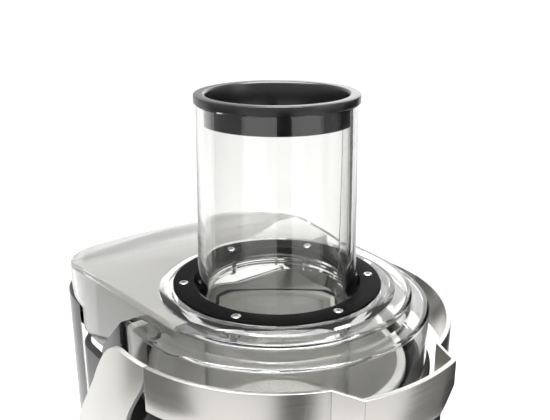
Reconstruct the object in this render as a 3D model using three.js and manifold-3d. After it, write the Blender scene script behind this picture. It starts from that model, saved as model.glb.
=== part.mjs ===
// Centrifugal juicer: a motor base, a juice bowl, a spinning sieve basket, a clear lid with a
// whole-fruit feed tube, a locking bow that swings down at the front, and a pulp container behind.
// Millimetres. +Z is up, the spout and the dial face -Y, and z = 0 is the surface under the feet.
import * as THREE from 'three';
import { mergeVertices } from 'three/addons/utils/BufferGeometryUtils.js';
import Module from 'manifold-3d';

const wasm = await Module();
wasm.setup();

// ---------------------------------------------------------------- driving dimensions
const seat = 0.3; // gap between two pieces that rest on each other
const running = 1.5; // gap round a piece that turns
const through = 1; // how far a cutting tool passes its work
const facets = { large: 32, medium: 16, small: 8 }; // sides of a full round

const body = { halfWidth: 97, rearY: 100, cornerRadius: 24, wall: 3, bottomZ: 8, deckZ: 172 };
const skirt = { thickness: 1.2, bottomZ: 26, bossGap: 4 };
const platform = { thickness: 12, sideInset: 15, reach: 80 };
const plate = { thickness: 3, inset: 4, postRadius: 5, postTopZ: 19.7 };
const foot = { radius: 13, lipRadius: 15, treadRadius: 12, x: 52, frontY: -56, rearInset: 34 };
const baseScrew = { headRadius: 4, shankRadius: 2, headHeight: 2.4, length: 12, inset: 10, y: [-20, 60] };
const screwPost = { wall: 1.5, webHalf: 1.5, webSink: 0.5, above: 4 };

const bowl = { proud: 1, height: 67.7, wall: 3, floor: 3.5, pocketInset: 12, collarRadius: 24 };
const spout = { halfWidth: 29, bottomUp: 14, topUp: 10 };
const nozzle = { halfWidth: 19, reach: 34, wall: 3, floorUp: 3, height: 29, depthIn: 20 };

const tube = { boreTop: 43.4, boreBottom: 45.5, wallTop: 4.1, wallFoot: 5.3, chuteWall: 2 };
const tubeHeight = { aboveRing: 111.5, belowRing: 95 };
const tubeFlange = { width: 11.5, thickness: 3, gasket: 1 };
const rib = { depth: 5.5, width: 3, angle: -40, topGap: 2, bottomUp: 5 };
const rim = { flange: 5.2, overhang: 1.4, collarDepth: 11.5, collarWall: 1.1, chamfer: 1.2 };
const ring = { width: 12.9, thickness: 5, edge: 0.5 };
const ringScrew = { count: 6, firstAngle: -90, headRadius: 3.1, headHeight: 1.3, shankRadius: 1.6 };
const ringPost = { radius: 4, depth: 5, screwLength: 15, keyRadius: 1.2, keyDepth: 0.8 };

const lid = { wall: 3, frontInset: 3, ledge: 10.8, ledgeDrop: 8.2, height: 46.7, ledgeRearY: 24 };
const lidRear = { sideInset: 8, y: 76, reach: 82, slopeStartY: 87, slopeDrop: 19, lift: 16 };
const boss = { wall: 3, rise: 2, slope: 5.4, floor: 3 };
const latch = { sideInset: 1, length: 31, topDrop: 8.5, midDrop: 22, lowDrop: 35, footDrop: 41 };

const basket = { rimWidth: 6, rimHeight: 4, sieveWall: 1, rimGap: 3, discGap: 3.5, baseLip: 2.5 };
const disc = { proud: 1.5, thickness: 1.8, toothCount: 10, toothHeight: 0.9 };
const hub = { socketRadius: 11.4, radius: 19, drop: 4 };

const bow = { gap: 7.5, thickness: 3, topDrop: 14, height: 27, swing: 35 };
const bulge = { rootAngle: 22, tipAngle: 16, reach: 14, tipRise: 12 };
const pivot = { y: 70, z: 156, pinRadius: 5, bossRadius: 14, capRadius: 11, capThickness: 2.2 };
const arm = { bandEndY: -22, rearBulge: 24, frontHollow: 16 };

const container = { wall: 2.5, gap: 2, lidGap: 2, sideInset: 4, shoulder: 12, frontCut: 15 };
const containerGrip = { width: 70, reach: 8 };
const dial = { z: 88, radius: 17, depth: 15, bezelWidth: 7, bezelProud: 5, shaftRadius: 3, ridge: 5 };
const gland = { radius: 6, flangeRadius: 9, y: 76, z: 42, reach: 11.5 };

const shaft = { radius: 4, bottomZ: 17, couplingGap: 2.5, couplingRadius: 10.5, couplingHeight: 11 };
const motor = { half: 40, stackZ: 60, stackHeight: 45, bore: 24.5, airGap: 0.7, legHalf: 4 };
const winding = { inner: 26, outer: 37, height: 13 };
const commutator = { radius: 12, gap: 4, height: 14 };
const bearing = { radius: 11, height: 7, cupWall: 3.7, cupFloor: 2.5 };
const fan = { radius: 35, hubRadius: 9, blades: 9, bladeHeight: 8, bladeHalf: 0.8, web: 1.5 };

// ---------------------------------------------------------------- levels and radii that follow
const bowlBottomZ = body.deckZ + seat;
const bowlTopZ = bowlBottomZ + bowl.height;
const bowlHalf = body.halfWidth + bowl.proud;
const pocketRadius = bowlHalf - bowl.pocketInset;
const lidBottomZ = bowlTopZ + seat;
const plateauZ = lidBottomZ + lid.height;
const ledgeZ = plateauZ - lid.ledgeDrop;
const ledgeRadius = bowlHalf - lid.frontInset;
const plateauRadius = ledgeRadius - lid.ledge;
const ringTopZ = plateauZ + 3;
const ringBottomZ = ringTopZ - ring.thickness;
const flangeTopZ = ringBottomZ - seat;
const flangeBottomZ = flangeTopZ - tubeFlange.thickness;
const recessZ = flangeBottomZ - 2 * seat - tubeFlange.gasket;
const tubeFootRadius = tube.boreBottom + tube.wallFoot;
const ringInner = tubeFootRadius + 1.2;
const ringOuter = ringInner + ring.width;
const screwPitch = (ringInner + ringOuter) / 2;
const recessRadius = ringOuter + seat;
const tubeTopZ = ringTopZ + tubeHeight.aboveRing;
const chuteBottomZ = ringTopZ - tubeHeight.belowRing;
const chuteOuter = tube.boreBottom + tube.chuteWall;
const discTopZ = chuteBottomZ - basket.discGap;
const discRadius = tube.boreBottom + disc.proud;
const discBottomZ = discTopZ - disc.thickness - disc.toothHeight;
const basketBottomZ = discBottomZ - seat - 7;
const rimOuter = pocketRadius - basket.rimGap;
const rimInner = rimOuter - basket.rimWidth;
const sieveTopZ = bowlTopZ - basket.rimHeight;
const bowInner = bowlHalf + bow.gap;
const bowOuter = bowInner + bow.thickness;
const bowTopZ = ringTopZ - bow.topDrop - 3;
const bowBottomZ = bowTopZ - bow.height;
const lidRearZ = bowlTopZ + lidRear.lift;
const lidRearHalf = bowlHalf - lidRear.sideInset;
const platformHalf = body.halfWidth - platform.sideInset;
const containerTopZ = lidRearZ - container.lidGap;
const containerFrontY = body.rearY + bowl.proud + container.gap;
const lidBackY = body.rearY + lidRear.reach;
const platformBackY = body.rearY + platform.reach;
const skirtOuter = body.halfWidth + seat + skirt.thickness;
const glandTipX = skirtOuter + gland.reach;
const tray = body.bottomZ + platform.thickness;

// ---------------------------------------------------------------- finishes
const finish = (color, roughness, metalness, opacity = 1) => new THREE.MeshStandardMaterial({
  color, roughness, metalness, opacity, transparent: opacity < 1,
});
const blackPlastic = finish(0x1a1a1c, 0.35, 0);
const softBlack = finish(0x232325, 0.6, 0);
const clearPlastic = finish(0xe4e4e0, 0.06, 0, 0.35);
const brushedSteel = finish(0xbdbcb8, 0.32, 1);
const satinSilver = finish(0xd2d1cc, 0.4, 1);
const lightGrey = finish(0xcfcfca, 0.5, 0);
const rubber = finish(0x202020, 0.85, 0);
const steel = finish(0x9a9a98, 0.35, 1);
const copper = finish(0xa8642c, 0.4, 1);
const board = finish(0x2f5a3c, 0.6, 0);

// ---------------------------------------------------------------- solid helpers
/** Turns a closed three.js geometry into a solid, with its shared corners merged. */
function solidOf(geometry) {
  const bare = geometry.clone();
  bare.deleteAttribute('normal');
  bare.deleteAttribute('uv');
  const merged = mergeVertices(bare, 1e-4);
  const index = merged.index.array;
  const kept = [];
  for (let i = 0; i < index.length; i += 3) {
    const [a, b, c] = [index[i], index[i + 1], index[i + 2]];
    if (a !== b && b !== c && c !== a) kept.push(a, b, c);
  }
  const vertProperties = new Float32Array(merged.attributes.position.array);
  return new wasm.Manifold(new wasm.Mesh({ numProp: 3, vertProperties, triVerts: new Uint32Array(kept) }));
}

/** Joins solids into one. */
const join = (...solids) => solids.reduce((whole, next) => whole.add(next));

/** Takes every tool away from the work. */
const cut = (work, ...tools) => tools.reduce((rest, tool) => rest.subtract(tool), work);

/** A named mesh of a solid, in one finish. */
function piece(name, solid, material) {
  const mesh = solid.getMesh();
  const geometry = new THREE.BufferGeometry();
  geometry.setAttribute('position', new THREE.BufferAttribute(new Float32Array(mesh.vertProperties), 3));
  geometry.setIndex(new THREE.BufferAttribute(new Uint32Array(mesh.triVerts), 1));
  geometry.computeVertexNormals();
  const result = new THREE.Mesh(geometry, material);
  result.name = name;
  return result;
}

/** A shape on the ground plane, raised between two heights. */
function prism(shape, bottomZ, topZ) {
  const options = { depth: topZ - bottomZ, bevelEnabled: false, curveSegments: 5 };
  return solidOf(new THREE.ExtrudeGeometry(shape, options).translate(0, 0, bottomZ));
}

/** A shape drawn as (y, z), raised along X between two places. */
function sidePrism(shape, fromX, toX) {
  const options = { depth: toX - fromX, bevelEnabled: false, curveSegments: 6 };
  const turn = new THREE.Matrix4().makeBasis(
    new THREE.Vector3(0, 1, 0), new THREE.Vector3(0, 0, 1), new THREE.Vector3(1, 0, 0),
  );
  return solidOf(new THREE.ExtrudeGeometry(shape, options).applyMatrix4(turn).translate(fromX, 0, 0));
}

/** A closed [radius, z] profile, anticlockwise, turned about the Z axis. */
function turned(profile, segments = facets.large) {
  const points = profile.map(([radius, z]) => new THREE.Vector2(radius, z));
  if (points[0].x > 0 || points[points.length - 1].x > 0) points.push(points[0].clone());
  return solidOf(new THREE.LatheGeometry(points, segments).rotateX(Math.PI / 2));
}

/** A plain disc or rod about Z. */
const rod = (radius, bottomZ, topZ, segments = facets.medium) => turned(
  [[0, bottomZ], [radius, bottomZ], [radius, topZ], [0, topZ]], segments,
);

/** A rod along X. */
function rodX(radius, fromX, toX, y, z, segments = facets.medium) {
  const geometry = new THREE.CylinderGeometry(radius, radius, toX - fromX, segments);
  return solidOf(geometry.rotateZ(Math.PI / 2).translate((fromX + toX) / 2, y, z));
}

/** A rod along Y. */
function rodY(radius, fromY, toY, x, z, segments = facets.medium) {
  const geometry = new THREE.CylinderGeometry(radius, radius, toY - fromY, segments);
  return solidOf(geometry.translate(x, (fromY + toY) / 2, z));
}

/** A box between two corners. */
function block([x0, y0, z0], [x1, y1, z1]) {
  const geometry = new THREE.BoxGeometry(x1 - x0, y1 - y0, z1 - z0);
  return solidOf(geometry.translate((x0 + x1) / 2, (y0 + y1) / 2, (z0 + z1) / 2));
}

/** Where a copy stands on a circle. */
const onCircle = (radius, degrees) => {
  const angle = THREE.MathUtils.degToRad(degrees);
  return [radius * Math.cos(angle), radius * Math.sin(angle)];
};

// ---------------------------------------------------------------- outlines
/** Points along an arc, angles in degrees. */
function arc(centreX, centreY, radius, from, to, steps) {
  return Array.from({ length: steps + 1 }, (_, i) => {
    const [x, y] = onCircle(radius, from + ((to - from) * i) / steps);
    return new THREE.Vector2(centreX + x, centreY + y);
  });
}

/** The round front half of an outline, from its left side to its right side. */
const roundFront = (radius) => arc(0, 0, radius, 180, 360, facets.large / 2);

/** A full round back from the right side, at shoulderY, over to the left side. */
function roundBack(half, shoulderY, backY) {
  const lift = shoulderY + 0.75 * (backY - shoulderY);
  const point = (x, y) => new THREE.Vector2(x, y);
  const right = new THREE.CubicBezierCurve(
    point(half, shoulderY), point(half, lift), point(0.72 * half, backY), point(0, backY),
  ).getPoints(9);
  const left = right.slice(0, -1).reverse().map(({ x, y }) => point(-x, y));
  return [...right, ...left];
}

/** A round front, straight sides and a back wall with rounded corners. */
const tubOutline = (half, rearY, corner) => new THREE.Shape([
  ...roundFront(half),
  ...arc(half - corner, rearY - corner, corner, 0, 90, 4),
  ...arc(corner - half, rearY - corner, corner, 90, 180, 4),
]);

/** The part of an outline behind frontY that ends in one full round. */
const backOutline = (half, frontY, shoulderY, backY) => new THREE.Shape([
  new THREE.Vector2(-half, frontY), new THREE.Vector2(half, frontY), ...roundBack(half, shoulderY, backY),
]);

/** The lid's upper outline: a round front that widens to the pulp channel and its round back. */
const lidOutline = (inset) => new THREE.Shape([
  ...roundFront(plateauRadius - inset),
  ...roundBack(lidRearHalf - inset, lidRear.y, lidBackY - inset),
]);

/** The lid's lower front outline, which carries the ledge. */
const ledgeOutline = (inset) => new THREE.Shape([
  ...roundFront(ledgeRadius - inset),
  new THREE.Vector2(ledgeRadius - inset, lid.ledgeRearY - inset),
  new THREE.Vector2(inset - ledgeRadius, lid.ledgeRearY - inset),
]);

// ---------------------------------------------------------------- base
function makeBase() {
  const outer = prism(tubOutline(body.halfWidth, body.rearY, body.cornerRadius), body.bottomZ, body.deckZ);
  const tail = prism(
    backOutline(platformHalf, body.rearY - 10, body.rearY, platformBackY), body.bottomZ, tray,
  );
  const inside = prism(
    tubOutline(body.halfWidth - body.wall, body.rearY - body.wall, body.cornerRadius - body.wall),
    body.bottomZ - through, body.deckZ - body.wall,
  );
  const tailInside = prism(
    backOutline(
      platformHalf - body.wall, body.rearY - 12, body.rearY, platformBackY - body.wall,
    ), body.bottomZ - through, tray - body.wall,
  );
  const bosses = [-1, 1].map((side) => {
    const near = body.halfWidth - body.wall - 5;
    const far = bowInner - seat;
    return rodX(pivot.bossRadius, side < 0 ? -far : near, side < 0 ? -near : far, pivot.y, pivot.z);
  });
  const pinHoles = rodX(pivot.pinRadius + seat, -bowOuter, bowOuter, pivot.y, pivot.z);
  const postTopZ = body.bottomZ + baseScrew.length + screwPost.above;
  const webX = body.halfWidth - body.wall + screwPost.webSink;
  const screwPosts = baseScrewPlaces.map(([x, y]) => {
    const wallX = Math.sign(x) * webX;
    const post = rod(baseScrew.headRadius + screwPost.wall, body.bottomZ, postTopZ, facets.small);
    return join(post.translate([x, y, 0]), block(
      [Math.min(x, wallX), y - screwPost.webHalf, body.bottomZ],
      [Math.max(x, wallX), y + screwPost.webHalf, postTopZ],
    ));
  });
  const screwHoles = baseScrewPlaces.map(([x, y]) => (
    rod(
      baseScrew.shankRadius + seat, body.bottomZ - through, body.bottomZ + baseScrew.length + 1, facets.small,
    )
      .translate([x, y, 0])
  ));
  const shell = cut(join(outer, tail, ...bosses), inside, tailInside);
  return piece('base_housing', cut(
    join(shell, ...screwPosts),
    ...screwHoles,
    pinHoles,
    rod(sealRadius + seat, body.deckZ - 2 * body.wall, body.deckZ + through),
    rodY(
      dial.shaftRadius + seat, -body.halfWidth - through, -body.halfWidth + 3 * body.wall, 0, dial.z,
      facets.small,
    ),
    rodX(gland.radius + seat, body.halfWidth - 2 * body.wall, body.halfWidth + through, gland.y, gland.z),
  ), blackPlastic);
}

const sealRadius = 16;
const baseScrewX = body.halfWidth - baseScrew.inset;
const baseScrewPlaces = baseScrew.y.flatMap((y) => [[-baseScrewX, y], [baseScrewX, y]]);
const footRearY = platformBackY - foot.rearInset;
const feetPlaces = {
  foot_front_left: [-foot.x, foot.frontY],
  foot_front_right: [foot.x, foot.frontY],
  foot_rear_left: [-foot.x, footRearY],
  foot_rear_right: [foot.x, footRearY],
};

function makeSkirt() {
  const topZ = pivot.z - pivot.bossRadius - skirt.bossGap;
  const inner = body.halfWidth + seat;
  const grow = skirtOuter - body.halfWidth;
  const corner = body.cornerRadius;
  return piece('steel_skirt', cut(
    prism(tubOutline(skirtOuter, body.rearY + grow, corner + grow), skirt.bottomZ, topZ),
    prism(tubOutline(inner, body.rearY + seat, corner + seat), skirt.bottomZ - through, topZ + through),
    rodY(
      dial.shaftRadius + running, -skirtOuter - through, -body.halfWidth + through, 0, dial.z, facets.small,
    ),
    rodX(gland.radius + running, body.halfWidth - 2 * body.wall, skirtOuter + through, gland.y, gland.z),
  ), brushedSteel);
}

function makeBasePlate() {
  const topZ = body.bottomZ - seat;
  const bottomZ = topZ - plate.thickness;
  const front = tubOutline(
    body.halfWidth - plate.inset, body.rearY - plate.inset, body.cornerRadius - plate.inset,
  );
  const tail = backOutline(
    platformHalf - plate.inset, body.rearY - 12, body.rearY, platformBackY - plate.inset,
  );
  const legs = motorCorners.map(([x, y]) => (
    rod(plate.postRadius, topZ - 0.5, plate.postTopZ, facets.small).translate([x, y, 0])
  ));
  const holes = baseScrewPlaces.map(([x, y]) => (
    rod(baseScrew.shankRadius + seat, bottomZ - through, topZ + through, facets.small).translate([x, y, 0])
  ));
  return piece('base_plate', cut(
    join(prism(front, bottomZ, topZ), prism(tail, bottomZ, topZ), ...legs), ...holes,
  ), softBlack);
}

const plateBottomZ = body.bottomZ - seat - plate.thickness;
const motorCorners = [[-1, -1], [1, -1], [1, 1], [-1, 1]].map(([sx, sy]) => (
  [sx * (motor.half - motor.legHalf), sy * (motor.half - motor.legHalf)]
));

function makeFeet() {
  const topZ = plateBottomZ - seat;
  const cup = () => turned([
    [0, 1.6], [foot.treadRadius - 3, 1.2], [foot.treadRadius, 0], [foot.lipRadius, 0],
    [foot.radius, topZ - 1], [foot.radius - 1, topZ], [0, topZ],
  ], facets.medium);
  return Object.entries(feetPlaces).map(([name, [x, y]]) => (
    piece(name, cup().translate([x, y, 0]), rubber)
  ));
}

function makeBaseScrews() {
  const headTop = plateBottomZ - seat;
  return baseScrewPlaces.map(([x, y], i) => piece(`base_screw_${i + 1}`, turned([
    [0, headTop - baseScrew.headHeight],
    [baseScrew.headRadius, headTop - baseScrew.headHeight],
    [baseScrew.headRadius, headTop],
    [baseScrew.shankRadius, headTop],
    [baseScrew.shankRadius, body.bottomZ + baseScrew.length],
    [0, body.bottomZ + baseScrew.length],
  ], facets.small).translate([x, y, 0]), steel));
}

function makeGland() {
  return piece('cord_gland', join(
    rodX(gland.radius, body.halfWidth - body.wall - 2, glandTipX - 4, gland.y, gland.z),
    rodX(gland.flangeRadius, skirtOuter + seat, skirtOuter + seat + 3, gland.y, gland.z),
    rodX(gland.radius - 1.5, glandTipX - 5, glandTipX, gland.y, gland.z),
  ), rubber);
}

// ---------------------------------------------------------------- motor and drive
const stackTopZ = motor.stackZ + motor.stackHeight;
const windingTopZ = stackTopZ + seat + winding.height;
const commutatorZ = windingTopZ + commutator.gap;
const upperCupZ = commutatorZ + commutator.height + 9;
const lowerCupZ = plate.postTopZ + seat;
const shaftTopZ = discBottomZ - 4;

/** A square motor bracket with a bearing cup at its middle and a leg at each corner. */
function bracket(cupZ, plateZ, legFrom, legTo) {
  const cupOuter = bearing.radius + bearing.cupWall;
  const cupTop = cupZ + bearing.cupFloor + bearing.height;
  const legs = motorCorners.map(([x, y]) => (
    block([x - motor.legHalf, y - motor.legHalf, legFrom], [x + motor.legHalf, y + motor.legHalf, legTo])
  ));
  const sheet = block([-motor.half, -motor.half, plateZ], [motor.half, motor.half, plateZ + 3]);
  return cut(
    join(sheet, rod(cupOuter, cupZ, cupTop), ...legs),
    rod(bearing.radius + seat, cupZ + bearing.cupFloor, cupTop + through),
    rod(shaft.radius + running, cupZ - through, cupTop),
  );
}

const bearingRing = (bottomZ) => turned([
  [shaft.radius + seat, bottomZ], [bearing.radius, bottomZ],
  [bearing.radius, bottomZ + bearing.height], [shaft.radius + seat, bottomZ + bearing.height],
], facets.medium);

const collar = (radius, bottomZ, topZ) => turned([
  [shaft.radius + seat, bottomZ], [radius, bottomZ], [radius, topZ], [shaft.radius + seat, topZ],
], facets.medium);

const windingRing = (bottomZ) => turned([
  [winding.inner, bottomZ + 2], [winding.inner + 2, bottomZ], [winding.outer - 2, bottomZ],
  [winding.outer, bottomZ + 2], [winding.outer, bottomZ + winding.height - 2],
  [winding.outer - 2, bottomZ + winding.height], [winding.inner + 2, bottomZ + winding.height],
  [winding.inner, bottomZ + winding.height - 2],
], facets.medium);

function makeMotor() {
  const stack = cut(
    block([-motor.half, -motor.half, motor.stackZ], [motor.half, motor.half, stackTopZ]),
    rod(motor.bore, motor.stackZ - through, stackTopZ + through, facets.large),
  );
  const brushInner = commutator.radius + 0.6;
  const brush = (side) => block(
    [side < 0 ? -34 : brushInner, -5, commutatorZ + 2],
    [side < 0 ? -brushInner : 34, 5, upperCupZ - seat],
  );
  return [
    piece('motor_stator', stack, steel),
    piece('field_winding_upper', windingRing(stackTopZ + seat), copper),
    piece('field_winding_lower', windingRing(motor.stackZ - seat - winding.height), copper),
    piece('upper_bearing_bracket', bracket(upperCupZ, upperCupZ, stackTopZ + seat, upperCupZ + 3), steel),
    piece('lower_bearing_bracket', bracket(lowerCupZ, lowerCupZ, lowerCupZ, motor.stackZ - seat), steel),
    piece('upper_bearing', bearingRing(upperCupZ + bearing.cupFloor + seat), steel),
    piece('lower_bearing', bearingRing(lowerCupZ + bearing.cupFloor + seat), steel),
    piece('brush_holder_left', brush(-1), softBlack),
    piece('brush_holder_right', brush(1), softBlack),
  ];
}

function makeFan() {
  const bottomZ = lowerCupZ + bearing.cupFloor + bearing.height + 3;
  const blades = Array.from({ length: fan.blades }, (_, i) => (
    block(
      [fan.hubRadius - 2, -fan.bladeHalf, bottomZ],
      [fan.radius - 1, fan.bladeHalf, bottomZ + fan.bladeHeight],
    )
      .rotate([0, 0, (360 * i) / fan.blades])
  ));
  return piece('cooling_fan', cut(
    join(
      rod(fan.hubRadius, bottomZ, bottomZ + fan.bladeHeight),
      rod(fan.radius, bottomZ, bottomZ + fan.web),
      ...blades,
    ),
    rod(shaft.radius + seat, bottomZ - through, bottomZ + fan.bladeHeight + through),
  ), softBlack);
}

function makeDrive() {
  const couplingZ = body.deckZ + shaft.couplingGap;
  const lobes = Array.from({ length: 6 }, (_, i) => (
    block([8, -1.6, couplingZ], [shaft.couplingRadius + 0.2, 1.6, couplingZ + shaft.couplingHeight])
      .rotate([0, 0, 60 * i])
  ));
  return [
    piece('motor_shaft', rod(shaft.radius, shaft.bottomZ, shaftTopZ), steel),
    piece('armature', collar(motor.bore - motor.airGap, motor.stackZ, stackTopZ), steel),
    piece('commutator', collar(commutator.radius, commutatorZ, commutatorZ + commutator.height), copper),
    piece('drive_coupling', join(
      collar(shaft.couplingRadius - 1.2, couplingZ, couplingZ + shaft.couplingHeight), ...lobes,
    ), softBlack),
    makeFan(),
  ];
}

function makeShaftSeal() {
  const bottomZ = body.deckZ - 2 * body.wall;
  return piece('shaft_seal', turned([
    [shaft.radius + 1, bottomZ + 1], [sealRadius, bottomZ + 1], [sealRadius, body.deckZ],
    [shaft.radius + 5, body.deckZ], [shaft.radius + 1, bottomZ + 3.5],
  ], facets.medium), rubber);
}

// ---------------------------------------------------------------- controls
const bezelFrontY = -skirtOuter - seat - dial.bezelProud;

function makeControls() {
  const bezelRadius = dial.radius + dial.bezelWidth;
  const skin = rod(skirtOuter + seat, dial.z - 2 * bezelRadius, dial.z + 2 * bezelRadius, facets.large);
  const bezel = cut(
    rodY(bezelRadius, bezelFrontY, -skirtOuter + 6, 0, dial.z, facets.large),
    skin,
    rodY(dial.shaftRadius + running, bezelFrontY - through, -skirtOuter + 8, 0, dial.z, facets.small),
    rodY(dial.radius + running, bezelFrontY - through, bezelFrontY + 2, 0, dial.z, facets.large),
  );
  const knobBackY = bezelFrontY + 2 - seat;
  const knobFrontY = knobBackY - dial.depth;
  const ridge = block(
    [-dial.ridge / 2, knobFrontY - 3, dial.z - dial.radius + 2],
    [dial.ridge / 2, knobFrontY + 1, dial.z + dial.radius - 2],
  );
  const knob = join(rodY(dial.radius, knobFrontY, knobBackY, 0, dial.z, facets.large), ridge);
  const boardY = -body.halfWidth + 22;
  const switchFrontY = -body.halfWidth + body.wall + 4;
  const spindle = rodY(dial.shaftRadius, knobBackY - 1, switchFrontY + 4, 0, dial.z, facets.small);
  const rotary = cut(
    block([-12, switchFrontY, dial.z - 12], [12, boardY - 1.5 - seat, dial.z + 12]),
    rodY(dial.shaftRadius + seat, switchFrontY - through, switchFrontY + 4 + seat, 0, dial.z, facets.small),
  );
  return [
    piece('dial_bezel', bezel, satinSilver),
    piece('speed_dial', join(knob, spindle), blackPlastic),
    piece('rotary_switch', rotary, softBlack),
    piece('control_board', block([-30, boardY - 1.5, dial.z - 30], [30, boardY, dial.z + 30]), board),
    piece('interlock_switch', block(
      [body.halfWidth - body.wall - seat - 12, pivot.y - 26, pivot.z - 40],
      [body.halfWidth - body.wall - seat, pivot.y - 4, pivot.z - 24],
    ), softBlack),
  ];
}

// ---------------------------------------------------------------- bowl and basket
function makeBowl() {
  const rearY = body.rearY + bowl.proud;
  const corner = body.cornerRadius + bowl.proud;
  const floorZ = bowlBottomZ + bowl.floor;
  const outer = prism(tubOutline(bowlHalf, rearY, corner), bowlBottomZ, bowlTopZ);
  const cavity = cut(
    prism(
      tubOutline(bowlHalf - bowl.wall, rearY - bowl.wall, corner - bowl.wall),
      bowlBottomZ - through, bowlTopZ - bowl.wall,
    ),
    rod(pocketRadius + bowl.wall, bowlBottomZ - 2 * through, bowlTopZ, facets.large),
  );
  const front = -bowlHalf;
  const spoutRadius = bowInner + bulge.reach - running;
  const nozzleZ = bowlBottomZ + nozzle.floorUp;
  const nozzleFrontY = front - nozzle.reach;
  const spoutBlock = cut(
    block(
      [-spout.halfWidth, -spoutRadius, bowlBottomZ + spout.bottomUp],
      [spout.halfWidth, front + 8, bowlTopZ + spout.topUp],
    ).intersect(rod(spoutRadius, bowlBottomZ, 2 * bowlTopZ, 2 * facets.large)),
    rod(ledgeRadius + running, bowlTopZ, bowlTopZ + 2 * spout.topUp, facets.large),
    rod(pocketRadius + bowl.wall, bowlBottomZ, bowlTopZ + through, facets.large),
  );
  const lip = block(
    [-nozzle.halfWidth, nozzleFrontY, nozzleZ], [nozzle.halfWidth, front + 8, nozzleZ + nozzle.height],
  );
  const channel = block(
    [-nozzle.halfWidth + nozzle.wall, nozzleFrontY - through, nozzleZ + nozzle.wall],
    [nozzle.halfWidth - nozzle.wall, front + nozzle.depthIn + 10, nozzleZ + nozzle.height - nozzle.wall],
  );
  const pocket = rod(pocketRadius, floorZ, bowlTopZ + through, facets.large);
  const neck = turned([
    [bowl.collarRadius, bowlBottomZ], [bowl.collarRadius + bowl.wall, bowlBottomZ],
    [bowl.collarRadius + bowl.wall, basketBottomZ - running], [bowl.collarRadius, basketBottomZ - running],
  ], facets.medium);
  const drain = rod(bowl.collarRadius, bowlBottomZ - through, floorZ + through);
  return piece('juice_bowl', join(
    cut(join(cut(outer, cavity), cut(spoutBlock, pocket), lip), channel, pocket, drain), neck,
  ), blackPlastic);
}

function makeBasket() {
  const baseTopZ = discBottomZ - seat;
  const baseRadius = discRadius + basket.baseLip;
  const socketTopZ = baseTopZ - 2;
  const base = turned([
    [0, socketTopZ], [hub.socketRadius, socketTopZ], [hub.socketRadius, basketBottomZ - hub.drop],
    [hub.radius, basketBottomZ - hub.drop], [hub.radius, basketBottomZ], [baseRadius, basketBottomZ],
    [baseRadius, discTopZ - 1], [discRadius + seat, discTopZ - 1], [discRadius + seat, baseTopZ],
    [0, baseTopZ],
  ], facets.large);
  const teeth = Array.from({ length: disc.toothCount }, (_, i) => (
    block([8, -1, discTopZ - disc.toothHeight - 0.5], [discRadius - 4, 1, discTopZ])
      .rotate([0, 0, (360 * i) / disc.toothCount])
  ));
  const sieveZ = discTopZ - 1 + seat;
  const sieve = turned([
    [baseRadius - basket.sieveWall, sieveZ], [baseRadius, sieveZ],
    [rimInner + 2.5, sieveTopZ - seat], [rimInner + 2.5 - basket.sieveWall, sieveTopZ - seat],
  ], facets.large);
  const rimRing = turned([
    [rimInner, sieveTopZ], [rimOuter, sieveTopZ], [rimOuter, sieveTopZ + basket.rimHeight - 1],
    [rimOuter - 1, sieveTopZ + basket.rimHeight], [rimInner, sieveTopZ + basket.rimHeight],
  ], facets.large);
  return [
    piece('basket_base', cut(base, rod(shaft.radius + running, 0, shaftTopZ + 0.5)), lightGrey),
    piece('grating_disc', join(
      rod(discRadius, discBottomZ, discTopZ - disc.toothHeight, facets.large), ...teeth,
    ), lightGrey),
    piece('sieve_cone', sieve, brushedSteel),
    piece('basket_rim', rimRing, lightGrey),
  ];
}

// ---------------------------------------------------------------- lid
/** The closed form of the lid, shrunk by inset, with its underside at the given height. */
function lidForm(inset, bottomZ) {
  const top = prism(lidOutline(inset), bottomZ, plateauZ - inset);
  const ledge = prism(ledgeOutline(inset), bottomZ, ledgeZ - inset);
  const slope = new THREE.Shape();
  const reach = lidBackY + through;
  slope.moveTo(lidRear.slopeStartY, plateauZ - inset);
  slope.lineTo(reach, plateauZ - inset - lidRear.slopeDrop);
  slope.lineTo(reach, plateauZ + through);
  slope.lineTo(lidRear.slopeStartY, plateauZ + through);
  slope.closePath();
  return join(cut(top, sidePrism(slope, -2 * lidRearHalf, 2 * lidRearHalf)), ledge);
}

function makeLid() {
  const shell = cut(lidForm(0, lidBottomZ), lidForm(lid.wall, lidBottomZ - through));
  const rise = block(
    [-2 * lidRearHalf, body.rearY + bowl.proud + 0.5, lidBottomZ - through],
    [2 * lidRearHalf, 2 * lidBackY, lidRearZ],
  );
  const bossOuter = recessRadius + boss.wall;
  const cup = turned([
    [0, recessZ - boss.floor], [bossOuter, recessZ - boss.floor], [bossOuter, plateauZ - 2],
    [bossOuter + boss.slope, plateauZ - 2], [bossOuter + boss.slope, plateauZ],
    [bossOuter, plateauZ + boss.rise], [0, plateauZ + boss.rise],
  ], facets.large);
  const places = screwPlaces();
  const posts = places.map(([x, y]) => (
    rod(ringPost.radius, recessZ - boss.floor - ringPost.depth, recessZ - 1, facets.small)
      .translate([x, y, 0])
  ));
  const holes = places.map(([x, y]) => (
    rod(ringScrew.shankRadius + seat, ringTopZ - ringPost.screwLength - 0.5, ringTopZ, facets.small)
      .translate([x, y, 0])
  ));
  return piece('lid_cover', cut(
    join(cut(shell, rise), cup, ...posts),
    rod(recessRadius, recessZ, ringTopZ + through, facets.large),
    rod(chuteOuter + 0.6, recessZ - 2 * boss.floor, ringTopZ, facets.large),
    ...holes,
  ), clearPlastic);
}

const screwPlaces = () => Array.from({ length: ringScrew.count }, (_, i) => (
  onCircle(screwPitch, ringScrew.firstAngle + (360 * i) / ringScrew.count)
));

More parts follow.
